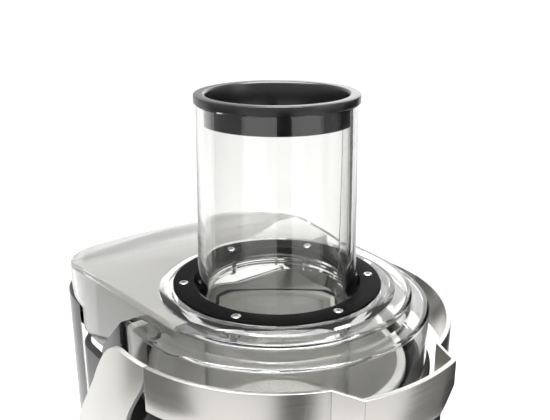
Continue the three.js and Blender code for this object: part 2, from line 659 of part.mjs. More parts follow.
function makeFeedTube() {
  const wall = turned([
    [tube.boreBottom, chuteBottomZ], [chuteOuter, chuteBottomZ], [chuteOuter, flangeBottomZ],
    [tubeFootRadius + tubeFlange.width, flangeBottomZ], [tubeFootRadius + tubeFlange.width, flangeTopZ],
    [tubeFootRadius, flangeTopZ], [tubeFootRadius, ringTopZ], [tube.boreBottom + 3.6, ringTopZ + 16],
    [tube.boreTop + tube.wallTop, tubeTopZ], [tube.boreTop, tubeTopZ],
    [tube.boreTop, tubeTopZ - rim.collarDepth - 1], [tube.boreBottom, ringTopZ],
  ], facets.large);
  const key = block(
    [tube.boreTop - rib.depth + 1, -rib.width / 2, chuteBottomZ + rib.bottomUp],
    [tube.boreTop + 2.6, rib.width / 2, tubeTopZ - rim.collarDepth - rib.topGap],
  ).rotate([0, 0, rib.angle]);
  const holes = screwPlaces().map(([x, y]) => (
    rod(ringScrew.shankRadius + 0.5, flangeBottomZ - through, flangeTopZ + through, facets.small)
      .translate([x, y, 0])
  ));
  return piece('feed_tube', cut(join(wall, key), ...holes), clearPlastic);
}

function makeTubeRim() {
  const bottomZ = tubeTopZ + seat;
  const topZ = bottomZ + rim.flange;
  const outer = tube.boreTop + tube.wallTop + rim.overhang;
  const collarOuter = tube.boreTop - seat;
  const bore = collarOuter - rim.collarWall;
  return piece('tube_rim', turned([
    [bore, tubeTopZ - rim.collarDepth], [collarOuter, tubeTopZ - rim.collarDepth], [collarOuter, bottomZ],
    [outer, bottomZ], [outer, topZ - 0.6], [outer - 0.6, topZ], [bore + rim.chamfer, topZ],
    [bore, topZ - rim.chamfer],
  ], facets.large), blackPlastic);
}

function makeRing() {
  const plain = turned([
    [ringInner, ringBottomZ], [ringOuter, ringBottomZ], [ringOuter, ringTopZ - ring.edge],
    [ringOuter - ring.edge, ringTopZ], [ringInner + ring.edge, ringTopZ],
    [ringInner, ringTopZ - ring.edge],
  ], facets.large);
  const holes = screwPlaces().flatMap(([x, y]) => [
    rod(ringScrew.shankRadius + seat, ringBottomZ - through, ringTopZ + through, facets.small)
      .translate([x, y, 0]),
    rod(ringScrew.headRadius + seat, ringTopZ - ringScrew.headHeight - seat, ringTopZ + through, facets.small)
      .translate([x, y, 0]),
  ]);
  return piece('retaining_ring', cut(plain, ...holes), blackPlastic);
}

function makeRingScrews() {
  const bottomZ = ringTopZ - ringPost.screwLength;
  const screw = cut(turned([
    [0, bottomZ], [ringScrew.shankRadius, bottomZ],
    [ringScrew.shankRadius, ringTopZ - ringScrew.headHeight],
    [ringScrew.headRadius, ringTopZ - ringScrew.headHeight], [ringScrew.headRadius, ringTopZ - 0.3],
    [ringScrew.headRadius - 0.6, ringTopZ + 0.1], [0, ringTopZ + 0.1],
  ], facets.small), rod(ringPost.keyRadius, ringTopZ - ringPost.keyDepth, ringTopZ + through, 6));
  return screwPlaces().map(([x, y], i) => piece(`ring_screw_${i + 1}`, screw.translate([x, y, 0]), steel));
}

function makeTubeGasket() {
  const bottomZ = recessZ + seat;
  const inner = chuteOuter + 1;
  const outer = screwPitch - ringScrew.shankRadius - 1;
  return piece('tube_gasket', turned([
    [inner, bottomZ], [outer, bottomZ],
    [outer, bottomZ + tubeFlange.gasket], [inner, bottomZ + tubeFlange.gasket],
  ], facets.large), rubber);
}

/** A wedge on the lid's side, behind the ledge, that the bow's arm covers. */
function makeLatches() {
  const frontY = lid.ledgeRearY + seat;
  const backY = frontY + latch.length;
  const profile = new THREE.Shape();
  profile.moveTo(frontY, lidBottomZ);
  profile.lineTo(backY, lidBottomZ);
  profile.lineTo(backY, plateauZ - latch.footDrop);
  profile.lineTo(backY - 3, plateauZ - latch.lowDrop);
  profile.lineTo(frontY + 14, plateauZ - latch.midDrop);
  profile.lineTo(frontY, plateauZ - latch.topDrop);
  profile.closePath();
  const plate = sidePrism(profile, plateauRadius, bowlHalf - latch.sideInset);
  const fitted = cut(plate, lidForm(-seat, lidBottomZ - through));
  return [
    piece('lid_latch_left', fitted.mirror([1, 0, 0]), blackPlastic),
    piece('lid_latch_right', fitted, blackPlastic),
  ];
}

// ---------------------------------------------------------------- locking bow
/** The bow's plan outline at one radius: round front, spout bulge and straight sides. */
function bowOutline(radius) {
  const { rootAngle, tipAngle, reach } = bulge;
  const backY = pivot.y + 2 * pivot.bossRadius;
  return new THREE.Shape([
    ...arc(0, 0, radius, 180, 270 - rootAngle, 10),
    ...arc(0, 0, radius + reach, 270 - tipAngle, 270 + tipAngle, 6),
    ...arc(0, 0, radius, 270 + rootAngle, 360, 10),
    new THREE.Vector2(radius, backY), new THREE.Vector2(-radius, backY),
  ]);
}

/** The bow's sheet, one thickness all round, between two heights. */
function bowWall(bottomZ, topZ) {
  return cut(
    prism(bowOutline(bowOuter), bottomZ, topZ),
    prism(bowOutline(bowInner), bottomZ - through, topZ + through)
      .add(block(
        [-bowInner, 0, bottomZ - through],
        [bowInner, pivot.y + 3 * pivot.bossRadius, topZ + through],
      )),
  );
}

function makeBow() {
  const wide = 2 * bowOuter;
  const bandCut = block([-wide, arm.bandEndY - seat, bowBottomZ - 20], [wide, wide, bowTopZ + 20]);
  const [, tipY] = onCircle(bowInner + bulge.reach, -90 + bulge.tipAngle);
  const [tipX] = onCircle(bowOuter + bulge.reach, -90 + bulge.tipAngle);
  const sweep = (side) => {
    const shape = new THREE.Shape();
    const inner = tipX - 14;
    shape.moveTo(side * inner, bowBottomZ - through);
    shape.lineTo(side * (tipX + 2), bowBottomZ - through);
    shape.lineTo(side * (tipX + 2), bowBottomZ + bulge.tipRise);
    shape.lineTo(side * tipX, bowBottomZ + bulge.tipRise);
    shape.closePath();
    const geometry = new THREE.ExtrudeGeometry(shape, { depth: wide, bevelEnabled: false });
    return solidOf(geometry.rotateX(Math.PI / 2).translate(0, tipY + 4, 0));
  };
  const band = cut(bowWall(bowBottomZ, bowTopZ), bandCut, sweep(-1), sweep(1));

  const { bossRadius, y, z } = pivot;
  const fall = bowTopZ - z;
  const profile = new THREE.Shape();
  profile.moveTo(arm.bandEndY, bowTopZ);
  profile.lineTo(arm.bandEndY + arm.rearBulge, bowTopZ);
  profile.bezierCurveTo(
    y * 0.26, bowTopZ, y * 0.45, bowTopZ - 0.16 * fall, y * 0.61, bowTopZ - 0.31 * fall,
  );
  profile.bezierCurveTo(
    y * 0.82, bowTopZ - 0.5 * fall, y + bossRadius, z + 0.3 * fall, y + bossRadius, z,
  );
  profile.absarc(y, z, bossRadius, 0, -Math.PI, true);
  profile.bezierCurveTo(
    y - bossRadius, z + 0.2 * fall, arm.frontHollow + 0.08 * y, z + 0.42 * fall, 0, z + 0.62 * fall,
  );
  profile.bezierCurveTo(
    -arm.frontHollow * 0.5, z + 0.76 * fall, arm.bandEndY + 4, bowTopZ - 0.17 * fall,
    arm.bandEndY, bowTopZ - 0.06 * fall,
  );
  profile.closePath();
  const arms = cut(
    bowWall(z - 2 * bossRadius, bowTopZ + through).intersect(sidePrism(profile, -wide, wide)),
    rodX(pivot.pinRadius + seat, -wide, wide, y, z),
  );
  const half = (side) => block([side < 0 ? -wide : 0, -wide, 0], [side < 0 ? 0 : wide, wide, 2 * ringTopZ]);
  return [
    piece('bow_band', band, brushedSteel),
    piece('bow_arm_left', arms.intersect(half(-1)), satinSilver),
    piece('bow_arm_right', arms.intersect(half(1)), satinSilver),
  ];
}

function makePivots() {
  const tipX = bowOuter + seat;
  const pin = rodX(pivot.pinRadius, body.halfWidth - body.wall - 4, tipX, pivot.y, pivot.z);
  const cap = rodX(pivot.capRadius, tipX + seat, tipX + seat + pivot.capThickness, pivot.y, pivot.z);
  return [
    piece('bow_pin_left', pin.mirror([1, 0, 0]), steel),
    piece('bow_pin_right', pin, steel),
    piece('pivot_cap_left', cap.mirror([1, 0, 0]), satinSilver),
    piece('pivot_cap_right', cap, satinSilver),
  ];
}

// ---------------------------------------------------------------- pulp container
function makeContainer() {
  const half = lidRearHalf - container.sideInset;
  const backY = lidBackY - container.sideInset + 2;
  const shoulderY = containerFrontY + container.shoulder;
  const bottomZ = tray + seat;
  const outer = prism(backOutline(half, containerFrontY, shoulderY, backY), bottomZ, containerTopZ);
  const inside = prism(backOutline(
    half - container.wall, containerFrontY + container.wall, shoulderY, backY - container.wall,
  ), bottomZ + container.wall, containerTopZ + through);
  const mouth = block(
    [-half - through, containerFrontY - through, containerTopZ - container.frontCut],
    [half + through, shoulderY, containerTopZ + through],
  );
  const grip = cut(
    block(
      [-containerGrip.width / 2, backY - 12, containerTopZ - 34],
      [containerGrip.width / 2, backY + containerGrip.reach, containerTopZ - 28],
    ),
    prism(backOutline(half - 0.5, containerFrontY, shoulderY, backY - 0.5), bottomZ, containerTopZ),
  );
  return piece('pulp_container', cut(join(outer, grip), inside, mouth), clearPlastic);
}

// ---------------------------------------------------------------- the whole juicer
const juicer = new THREE.Group();
juicer.add(
  makeBase(), makeSkirt(), makeBasePlate(), ...makeFeet(), ...makeBaseScrews(), makeGland(),
  ...makeMotor(), makeShaftSeal(), ...makeControls(), makeBowl(), ...makePivots(),
  ...makeDrive(), ...makeBasket(),
  makeLid(), makeFeedTube(), makeTubeRim(), makeRing(), ...makeRingScrews(), makeTubeGasket(),
  ...makeLatches(),
  ...makeBow(), makeContainer(),
);
const extent = new THREE.Box3().setFromObject(juicer);
juicer.position.y = -(extent.min.y + extent.max.y) / 2;

export default juicer;
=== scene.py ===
"""Centrifugal juicer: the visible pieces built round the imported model.

A piece is shaped in millimetres about the feed tube's axis, and is then placed in metres in the
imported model's frame: +Z up, the spout and the dial face -Y, and the pulp container stands at +Y.
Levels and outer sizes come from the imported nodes' own boxes.
"""

import logging
import math
from dataclasses import dataclass, field
from enum import Enum
from typing import Iterable, Sequence

import bpy
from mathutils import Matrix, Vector

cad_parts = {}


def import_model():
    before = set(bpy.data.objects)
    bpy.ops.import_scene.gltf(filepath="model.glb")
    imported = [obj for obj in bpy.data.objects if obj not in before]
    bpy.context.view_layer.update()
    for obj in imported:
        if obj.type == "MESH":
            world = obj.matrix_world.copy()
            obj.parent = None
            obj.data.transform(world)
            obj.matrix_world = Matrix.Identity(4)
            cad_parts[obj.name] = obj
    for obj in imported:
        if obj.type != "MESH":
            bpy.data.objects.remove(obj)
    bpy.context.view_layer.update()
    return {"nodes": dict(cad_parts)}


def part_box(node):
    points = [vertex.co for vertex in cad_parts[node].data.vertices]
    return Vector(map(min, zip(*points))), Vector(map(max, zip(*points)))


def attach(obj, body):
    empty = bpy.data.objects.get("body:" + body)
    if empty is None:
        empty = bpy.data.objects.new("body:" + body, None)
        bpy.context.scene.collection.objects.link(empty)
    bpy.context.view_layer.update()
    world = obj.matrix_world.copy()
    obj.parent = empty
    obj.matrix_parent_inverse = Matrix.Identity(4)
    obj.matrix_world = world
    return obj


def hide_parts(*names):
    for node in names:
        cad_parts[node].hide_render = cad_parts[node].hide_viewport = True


LOG = logging.getLogger("juicer")
MM = 0.001
SEAT = 0.3  # the gap between two pieces that rest on each other
FAR = 200.0  # past every side of the juicer, for blocks that cut

Point = tuple[float, float]
Profile = list[Point]


class Body(Enum):
    """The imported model's moving bodies."""

    BASE = "base"
    DRIVE = "drive"
    LID = "lid"
    BOW = "bow"
    DIAL = "dial"
    CONTAINER = "container"


class Slot(Enum):
    """The record's material slots that the pieces use."""

    BLACK = "black_plastic"
    MATTE = "matte_black"
    CLEAR = "clear_plastic"
    BRUSHED = "brushed_steel"
    SILVER = "satin_silver"
    GREY = "light_grey"
    STEEL = "steel"
    COPPER = "copper"
    BOARD = "circuit_board"
    RUBBER = "rubber"


class Look(Enum):
    """The finishes that pieces are dressed in."""

    BLACK = "black"
    MATTE = "matte"
    RING = "ring"
    CLEAR = "clear"
    BRUSHED = "brushed"
    SIEVE = "sieve"
    SILVER = "silver"
    HOOD = "hood"
    GREY = "grey"
    STEEL = "steel"
    COPPER = "copper"
    BOARD = "board"
    RUBBER = "rubber"


USUAL = {
    Slot.BLACK: Look.BLACK,
    Slot.MATTE: Look.MATTE,
    Slot.CLEAR: Look.CLEAR,
    Slot.BRUSHED: Look.BRUSHED,
    Slot.SILVER: Look.SILVER,
    Slot.GREY: Look.GREY,
    Slot.STEEL: Look.STEEL,
    Slot.COPPER: Look.COPPER,
    Slot.BOARD: Look.BOARD,
    Slot.RUBBER: Look.RUBBER,
}


class Along(Enum):
    """The row axis that a turned piece is turned about."""

    X = (0.0, math.pi / 2, 0.0)
    Y = (-math.pi / 2, 0.0, 0.0)
    Z = (0.0, 0.0, 0.0)


# ------------------------------------------------------------------------------- finishes


def colour(code: str) -> tuple[float, float, float, float]:
    """Turns an sRGB hex colour into linear light.

    Args:
        code: Six hex digits after a hash sign.

    Returns:
        Linear red, green, blue and an alpha of one.
    """
    parts = [int(code[i : i + 2], 16) / 255 for i in (1, 3, 5)]
    linear = [c / 12.92 if c <= 0.04045 else ((c + 0.055) / 1.055) ** 2.4 for c in parts]
    return linear[0], linear[1], linear[2], 1.0


def add_node(
    tree: bpy.types.NodeTree,
    kind: str,
    settings: dict[str, object] | None = None,
    links: dict[str, bpy.types.NodeSocket] | None = None,
) -> bpy.types.Node:
    """Adds one shader node.

    Args:
        tree: The node tree that takes the node.
        kind: The node's Blender type.
        settings: Values by name: a socket's if the node has that socket, else a property's.
        links: The output that feeds each named input.

    Returns:
        The new node.
    """
    node = tree.nodes.new(kind)
    for name, value in (settings or {}).items():
        if name in node.inputs:
            node.inputs[name].default_value = value
        else:
            setattr(node, name, value)
    for name, source in (links or {}).items():
        tree.links.new(source, node.inputs[name])
    return node


@dataclass(frozen=True)
class Grain:
    """A fine surface pattern from one stretched noise.

    Attributes:
        pitch_mm: The pattern's repeat along X, Y and Z in millimetres.
        roughness_swing: How far the roughness moves either side of its middle.
        height_mm: The height of the relief.
        tone_swing: How far the colour moves either side of its middle.
    """

    pitch_mm: tuple[float, float, float] = (1.0, 1.0, 1.0)
    roughness_swing: float = 0.04
    height_mm: float = 0.01
    tone_swing: float = 0.02


@dataclass(frozen=True)
class Finish:
    """One moulded, rolled or turned finish.

    Attributes:
        name: The material's name.
        code: Its colour as sRGB hex.
        roughness: The middle of its roughness.
        grain: Its surface pattern.
        metallic: One for bare metal.
        ior: Its refractive index, for what isn't metal.
        transmission: How much light goes through it.
        anisotropic: How far a highlight is drawn out across the brushing.
        specular: The specular level, 0.5 for a plain surface.
        glow: How much light it gives off, for a sweep lit from behind.
    """

    name: str
    code: str
    roughness: float
    grain: Grain = field(default_factory=Grain)
    metallic: float = 0.0
    ior: float = 1.5
    transmission: float = 0.0
    anisotropic: float = 0.0
    specular: float = 0.5
    glow: float = 0.0

    def build(self) -> bpy.types.Material:
        """Makes the material's nodes and returns it."""
        material = bpy.data.materials.new(self.name)
        material.use_nodes = True
        tree = material.node_tree
        tree.nodes.clear()
        shader = add_node(tree, "ShaderNodeBsdfPrincipled", {
            "Metallic": self.metallic,
            "Transmission Weight": self.transmission,
            "Anisotropic": self.anisotropic,
            "Specular IOR Level": self.specular,
            "Emission Color": (1.0, 1.0, 1.0, 1.0),
            "Emission Strength": self.glow,
        })
        if not self.metallic:
            shader.inputs["IOR"].default_value = self.ior
        place = add_node(tree, "ShaderNodeTexCoord")
        pitch = tuple(1 / (p * MM) for p in self.grain.pitch_mm)
        stretch = add_node(tree, "ShaderNodeMapping", {"Scale": pitch}, {"Vector": place.outputs["Object"]})
        noise = add_node(
            tree, "ShaderNodeTexNoise", {"Scale": 1.0, "Detail": 3.0}, {"Vector": stretch.outputs["Vector"]}
        )
        rough = add_node(tree, "ShaderNodeMapRange", {
            "To Min": max(self.roughness - self.grain.roughness_swing, 0.0),
            "To Max": self.roughness + self.grain.roughness_swing,
        }, {"Value": noise.outputs["Fac"]})
        tree.links.new(rough.outputs["Result"], shader.inputs["Roughness"])
        self._tone(tree, shader, noise)
        bump = add_node(tree, "ShaderNodeBump", {
            "Strength": 1.0, "Distance": self.grain.height_mm * MM,
        }, {"Height": noise.outputs["Fac"]})
        tree.links.new(bump.outputs["Normal"], shader.inputs["Normal"])
        add_node(tree, "ShaderNodeOutputMaterial", None, {"Surface": shader.outputs["BSDF"]})
        return material

    def _tone(self, tree: bpy.types.NodeTree, shader: bpy.types.Node, noise: bpy.types.Node) -> None:
        """Lets the colour follow the grain a little."""
        base = Vector(colour(self.code)[:3])
        ramp = add_node(tree, "ShaderNodeValToRGB", None, {"Fac": noise.outputs["Fac"]})
        for element, side in zip(ramp.color_ramp.elements, (-1, 1)):
            shade = base * (1 + side * self.grain.tone_swing)
            element.color = (min(shade.x, 1.0), min(shade.y, 1.0), min(shade.z, 1.0), 1.0)
        tree.links.new(ramp.outputs["Color"], shader.inputs["Base Color"])


class Finishes:
    """Every finish on the juicer, each made once."""

    def __init__(self) -> None:
        """Makes the materials."""
        around = (60.0, 60.0, 0.7)
        fine = Grain((0.5, 0.5, 0.5), 0.03, 0.004, 0.02)
        satin = Grain((0.35, 0.35, 0.35), 0.05, 0.006, 0.02)
        # ABS, moulded in a polished tool: near black with a soft, slightly blue sheen.
        black = Finish("black_abs_moulded", "#0D0D0F", 0.24, fine, ior=1.54)
        # ABS from a spark-eroded tool: the fine pits scatter the highlight.
        matte = Finish(
            "black_abs_textured", "#141416", 0.5, Grain((0.6, 0.6, 0.6), 0.08, 0.03, 0.05), ior=1.54
        )
        # Clear copolyester, moulded and polished: bends what is behind it, with glassy edges.
        clear = Finish(
            "clear_copolyester", "#F6F6F5", 0.03, Grain((9.0, 9.0, 9.0), 0.012, 0.002, 0.003),
            ior=1.49, transmission=1.0,
        )
        # Rolled stainless sheet, belt-brushed round the machine: fine level lines. Real lines
        # are about 0.1 mm apart and are drawn at 0.7 mm so that they show.
        brushed = Finish(
            "stainless_belt_brushed", "#BDBBB6", 0.22, Grain(around, 0.09, 0.008, 0.06), 1.0, anisotropic=0.75
        )
        # Die-cast aluminium, blasted and anodised: an even, silky grey.
        silver = Finish("aluminium_satin_anodised", "#D6D5D0", 0.36, satin, 1.0)
        # ABS under silver paint and lacquer: an even mid grey with a soft sheen.
        hood = Finish("abs_silver_painted", "#92918D", 0.42, Grain((1.5, 1.5, 1.5), 0.05, 0.004, 0.02))
        # Polypropylene, moulded: pale, waxy and slightly soft in its highlights.
        grey = Finish("polypropylene_pale_grey", "#E6E5E1", 0.42, Grain((0.8, 0.8, 0.8), 0.05, 0.01, 0.015))
        # Bright zinc-plated steel, as on screws and shafts.
        steel = Finish("zinc_plated_steel", "#B4B3B0", 0.26, satin, 1.0)
        # Enamelled copper wire: closely wound turns show as fine rings.
        wound = Grain((30.0, 30.0, 0.8), 0.08, 0.12, 0.12)
        copper = Finish("enamelled_copper_wire", "#9C5527", 0.35, wound, 0.9)
        # Glass-epoxy board under green solder mask.
        board = Finish("epoxy_board_green", "#1F5A38", 0.4, Grain((4.0, 4.0, 4.0), 0.06, 0.01, 0.15))
        # Nitrile rubber, moulded: dull black with a dusty bloom.
        rubber = Finish("nitrile_rubber", "#1A1A1A", 0.72, Grain((1.2, 1.2, 1.2), 0.08, 0.02, 0.12))
        # Black anodised aluminium plate: almost no sheen even at a flat angle.
        ring = Finish("aluminium_black_anodised", "#060607", 0.5, fine, specular=0.03)
        # Etched stainless sieve sheet: a fine field of pits, each drawn about 1 mm across.
        sieve = Finish("stainless_sieve_sheet", "#E2E1DD", 0.5, Grain((1.0, 1.0, 1.0), 0.1, 0.05, 0.14), 0.6)
        self.materials: dict[Look, bpy.types.Material] = {
            look: finish.build() for look, finish in (
                (Look.BLACK, black), (Look.MATTE, matte), (Look.RING, ring), (Look.CLEAR, clear),
                (Look.BRUSHED, brushed), (Look.SIEVE, sieve), (Look.SILVER, silver), (Look.HOOD, hood),
                (Look.GREY, grey), (Look.STEEL, steel), (Look.COPPER, copper), (Look.BOARD, board),
                (Look.RUBBER, rubber),
            )
        }

    def dress(self, piece: bpy.types.Object, look: Look) -> None:
        """Gives a whole piece one finish."""
        piece.data.materials.clear()
        piece.data.materials.append(self.materials[look])


# ------------------------------------------------------------------------------- the bench


class Bench:
    """Edit-mode modelling steps that every sub-assembly uses."""

    @staticmethod
    def clear_selection() -> None:
        """Leaves edit mode with nothing selected."""
        if bpy.context.object and bpy.context.object.mode != "OBJECT":
            bpy.ops.object.mode_set(mode="OBJECT")
        bpy.ops.object.select_all(action="DESELECT")

    @staticmethod
    def pick(obj: bpy.types.Object) -> None:
        """Makes one object the only selected and active one."""
        Bench.clear_selection()
        obj.select_set(True)
        bpy.context.view_layer.objects.active = obj

    @staticmethod
    def edit(obj: bpy.types.Object) -> None:
        """Opens one object in edit mode with all of it selected."""
        Bench.pick(obj)
        bpy.ops.object.mode_set(mode="EDIT")
        bpy.ops.mesh.select_all(action="SELECT")

    @staticmethod
    def settle(obj: bpy.types.Object, name: str) -> bpy.types.Object:
        """Leaves edit mode, moves the object's place into its mesh and names it."""
        bpy.ops.object.mode_set(mode="OBJECT")
        Bench.pick(obj)
        bpy.ops.object.transform_apply(location=True, rotation=True, scale=True)
        obj.name = name
        obj.data.name = name
        return obj

    @staticmethod
    def turn(
        name: str,
        profile: Profile,
        at: Sequence[float] = (0, 0, 0),
        sides: int = 96,
        along: Along = Along.Z,
    ) -> bpy.types.Object:
        """Turns a profile by growing one ring of edges from point to point.

        Args:
            name: The piece's name.
            profile: Radius and height of each ring. It closes on itself if its last point is
                its first, and gets flat ends otherwise.
            at: Where the profile's zero height stands.
            sides: How many sides a full round has.
            along: The axis it is turned about.

        Returns:
            The turned piece.
        """
        Bench.clear_selection()
        first_radius, first_height = profile[0]
        bpy.ops.mesh.primitive_circle_add(vertices=sides, radius=first_radius, location=(0, 0, first_height))
        obj = bpy.context.object
        bpy.ops.object.transform_apply(location=True)
        Bench.edit(obj)
        for (radius, height), (next_radius, next_height) in zip(profile, profile[1:]):
            bpy.ops.mesh.extrude_edges_move(TRANSFORM_OT_translate={"value": (0, 0, next_height - height)})
            grow = next_radius / radius
            bpy.ops.transform.resize(value=(grow, grow, 1), center_override=(0, 0, next_height))
        bpy.ops.mesh.select_all(action="SELECT")
        bpy.ops.mesh.remove_doubles(threshold=1e-3)
        bpy.ops.mesh.fill_holes(sides=0)
        bpy.ops.mesh.normals_make_consistent(inside=False)
        bpy.ops.object.mode_set(mode="OBJECT")
        obj.rotation_euler = along.value
        obj.location = at
        return Bench.settle(obj, name)

    @staticmethod
    def chain(name: str, points: Sequence[Point]) -> bpy.types.Object:
        """Draws a level, filled outline at height zero, point by point, as one vertex drawn out.

        Args:
            name: The outline's name.
            points: Its corners as X and Y.

        Returns:
            The outline.
        """
        Bench.clear_selection()
        bpy.ops.mesh.primitive_plane_add(size=0.01, location=(points[0][0], points[0][1], 0))
        obj = bpy.context.object
        bpy.ops.object.transform_apply(location=True)
        Bench.edit(obj)
        bpy.ops.mesh.merge(type="CENTER")
        for (x0, y0), (x1, y1) in zip(points, points[1:]):
            bpy.ops.mesh.extrude_vertices_move(TRANSFORM_OT_translate={"value": (x1 - x0, y1 - y0, 0)})
        bpy.ops.mesh.select_all(action="SELECT")
        bpy.ops.mesh.edge_face_add()
        return Bench.settle(obj, name)

    @staticmethod
    def prism(name: str, points: Sequence[Point], low: float, high: float) -> bpy.types.Object:
        """Raises a level outline between two heights."""
        obj = Bench.chain(name, points)
        obj.location.z = low
        Bench.edit(obj)
        bpy.ops.mesh.extrude_region_move(TRANSFORM_OT_translate={"value": (0, 0, high - low)})
        bpy.ops.mesh.select_all(action="SELECT")
        bpy.ops.mesh.normals_make_consistent(inside=False)
        return Bench.settle(obj, name)

    @staticmethod
    def side_prism(name: str, points: Sequence[Point], low: float, high: float) -> bpy.types.Object:
        """Raises an outline drawn as Y and Z along X between two places."""
        obj = Bench.prism(name, points, low, high)
        # A third of a turn about the body diagonal takes X to Y, Y to Z and Z to X.
        obj.rotation_mode = "QUATERNION"
        obj.rotation_quaternion = (0.5, 0.5, 0.5, 0.5)
        Bench.pick(obj)
        return Bench.settle(obj, name)

    @staticmethod
    def block(name: str, low: Sequence[float], high: Sequence[float]) -> bpy.types.Object:
        """A box between two corners."""
        Bench.clear_selection()
        middle = [(a + b) / 2 for a, b in zip(low, high)]
        bpy.ops.mesh.primitive_cube_add(size=1, location=middle)
        obj = bpy.context.object
        obj.scale = [b - a for a, b in zip(low, high)]
        return Bench.settle(obj, name)

    @staticmethod
    def modify(obj: bpy.types.Object, kind: str, **settings: object) -> bpy.types.Object:
        """Adds one modifier and applies it."""
        Bench.pick(obj)
        modifier = obj.modifiers.new(kind.title(), kind)
        for key, value in settings.items():
            setattr(modifier, key, value)
        bpy.ops.object.modifier_apply(modifier=modifier.name)
        return obj

    @staticmethod
    def combine(
        obj: bpy.types.Object, operation: str, tools: Iterable[bpy.types.Object]
    ) -> bpy.types.Object:
        """Joins, cuts or keeps what is shared with each tool in turn, and uses the tool up."""
        for tool in tools:
            Bench.modify(obj, "BOOLEAN", operation=operation, object=tool, solver="EXACT")
            bpy.data.objects.remove(tool)
        return obj

    @staticmethod
    def tidy(obj: bpy.types.Object) -> bpy.types.Object:
        """Clears away the slivers that cutting leaves on flat faces."""
        Bench.edit(obj)
        bpy.ops.mesh.remove_doubles(threshold=0.01)
        bpy.ops.mesh.dissolve_limited(angle_limit=math.radians(0.05))
        bpy.ops.object.mode_set(mode="OBJECT")
        return obj

    @staticmethod
    def smooth(obj: bpy.types.Object, angle: float = 30.0) -> bpy.types.Object:
        """Shades a piece smooth across every edge flatter than an angle."""
        Bench.pick(obj)
        bpy.ops.object.shade_smooth_by_angle(angle=math.radians(angle))
        return obj

    @staticmethod
    def soften(
        obj: bpy.types.Object, width: float, segments: int = 3, angle: float = 30.0
    ) -> bpy.types.Object:
        """Rounds every edge sharper than an angle and shades the rest smooth."""
        Bench.modify(
            obj, "BEVEL", width=width, segments=segments, limit_method="ANGLE",
            angle_limit=math.radians(angle), use_clamp_overlap=True, harden_normals=False,
        )
        return Bench.smooth(obj, angle)

    @staticmethod
    def copy(
        obj: bpy.types.Object, name: str, shift: Sequence[float] = (0, 0, 0), turn: float = 0.0
    ) -> bpy.types.Object:
        """A copy with its own mesh, turned in degrees about the upright axis and then moved."""
        Bench.pick(obj)
        bpy.ops.object.duplicate(linked=False)
        twin = bpy.context.object
        twin.rotation_euler.z = math.radians(turn)
        twin.location = shift
        return Bench.settle(twin, name)

    @staticmethod
    def around(obj: bpy.types.Object, name: str, angles: Iterable[float]) -> bpy.types.Object:
        """Copies a piece round the upright axis, makes one piece of the copies and uses it up."""
        twins = [Bench.copy(obj, name, turn=angle) for angle in angles]
        bpy.data.objects.remove(obj)
        Bench.pick(twins[0])
        for twin in twins[1:]:
            twin.select_set(True)
        bpy.ops.object.join()
        return Bench.settle(bpy.context.object, name)

    @staticmethod
    def mirrored(obj: bpy.types.Object, name: str) -> bpy.types.Object:
        """A copy mirrored left to right, with its faces turned out again."""
        twin = Bench.copy(obj, name)
        twin.scale.x = -1
        Bench.pick(twin)
        bpy.ops.object.transform_apply(location=True, rotation=True, scale=True)
        Bench.edit(twin)
        bpy.ops.mesh.normals_make_consistent(inside=False)
        return Bench.settle(twin, name)


def arc(centre: Point, radius: float, start: float, stop: float, steps: int) -> list[Point]:
    """Points along an arc.

    Args:
        centre: The arc's centre.
        radius: Its radius.
        start: Its first angle in degrees.
        stop: Its last angle in degrees.
        steps: How many stretches it has.

    Returns:
        The points, ends included.
    """
    angles = [math.radians(start + (stop - start) * i / steps) for i in range(steps + 1)]
    return [(centre[0] + radius * math.cos(a), centre[1] + radius * math.sin(a)) for a in angles]


def curve(start: Point, pull: Point, push: Point, end: Point, steps: int) -> list[Point]:
    """Points along a cubic curve, without its first point."""
    found = []
    for i in range(1, steps + 1):
        t = i / steps
        weights = ((1 - t) ** 3, 3 * t * (1 - t) ** 2, 3 * t * t * (1 - t), t**3)
        found.append(tuple(
            sum(w * p[k] for w, p in zip(weights, (start, pull, push, end))) for k in (0, 1)
        ))
    return found


def round_back(half: float, shoulder: float, back: float, steps: int = 28) -> list[Point]:
    """The full round at the back of an outline, from its right side over to its left."""
    side = (half, shoulder)
    lift = (half, shoulder + 0.75 * (back - shoulder))
    right = [side] + curve(side, lift, (0.72 * half, back), (0, back), steps)
    return right + [(-x, y) for x, y in reversed(right[:-1])]


def tub(centre_y: float, half: float, rear: float, corner: float, steps: int = 64) -> list[Point]:
    """A round front, straight sides and a back wall with rounded corners."""
    return (
        arc((0, centre_y), half, 180, 360, steps)
        + arc((half - corner, rear - corner), corner, 0, 90, 10)
        + arc((corner - half, rear - corner), corner, 90, 180, 10)
    )


@dataclass(frozen=True)
class Span:
    """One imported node's box in millimetres, measured from the feed tube's axis.

    Attributes:
        low: The lowest corner.
        high: The highest corner.
    """

    low: Vector
    high: Vector

    @classmethod
    def of(cls, node: str) -> "Span":
        """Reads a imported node's box."""
        low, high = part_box(node)
        shift = Vector((0, axis_y(), 0))
        return cls((low - shift) / MM, (high - shift) / MM)


def axis_y() -> float:
    """Where the feed tube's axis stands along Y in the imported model, in metres."""
    low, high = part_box("feed_tube")
    return (low.y + high.y) / 2


def closed(profile: Profile) -> Profile:
    """A profile that comes back to its first point."""
    return [*profile, profile[0]]


def rod(
    name: str, radius: float, low: float, high: float, sides: int = 96, **place: object
) -> bpy.types.Object:
    """A plain round tool about an axis, for joining and cutting."""
    return Bench.turn(name, [(radius, low), (radius, high)], sides=sides, **place)


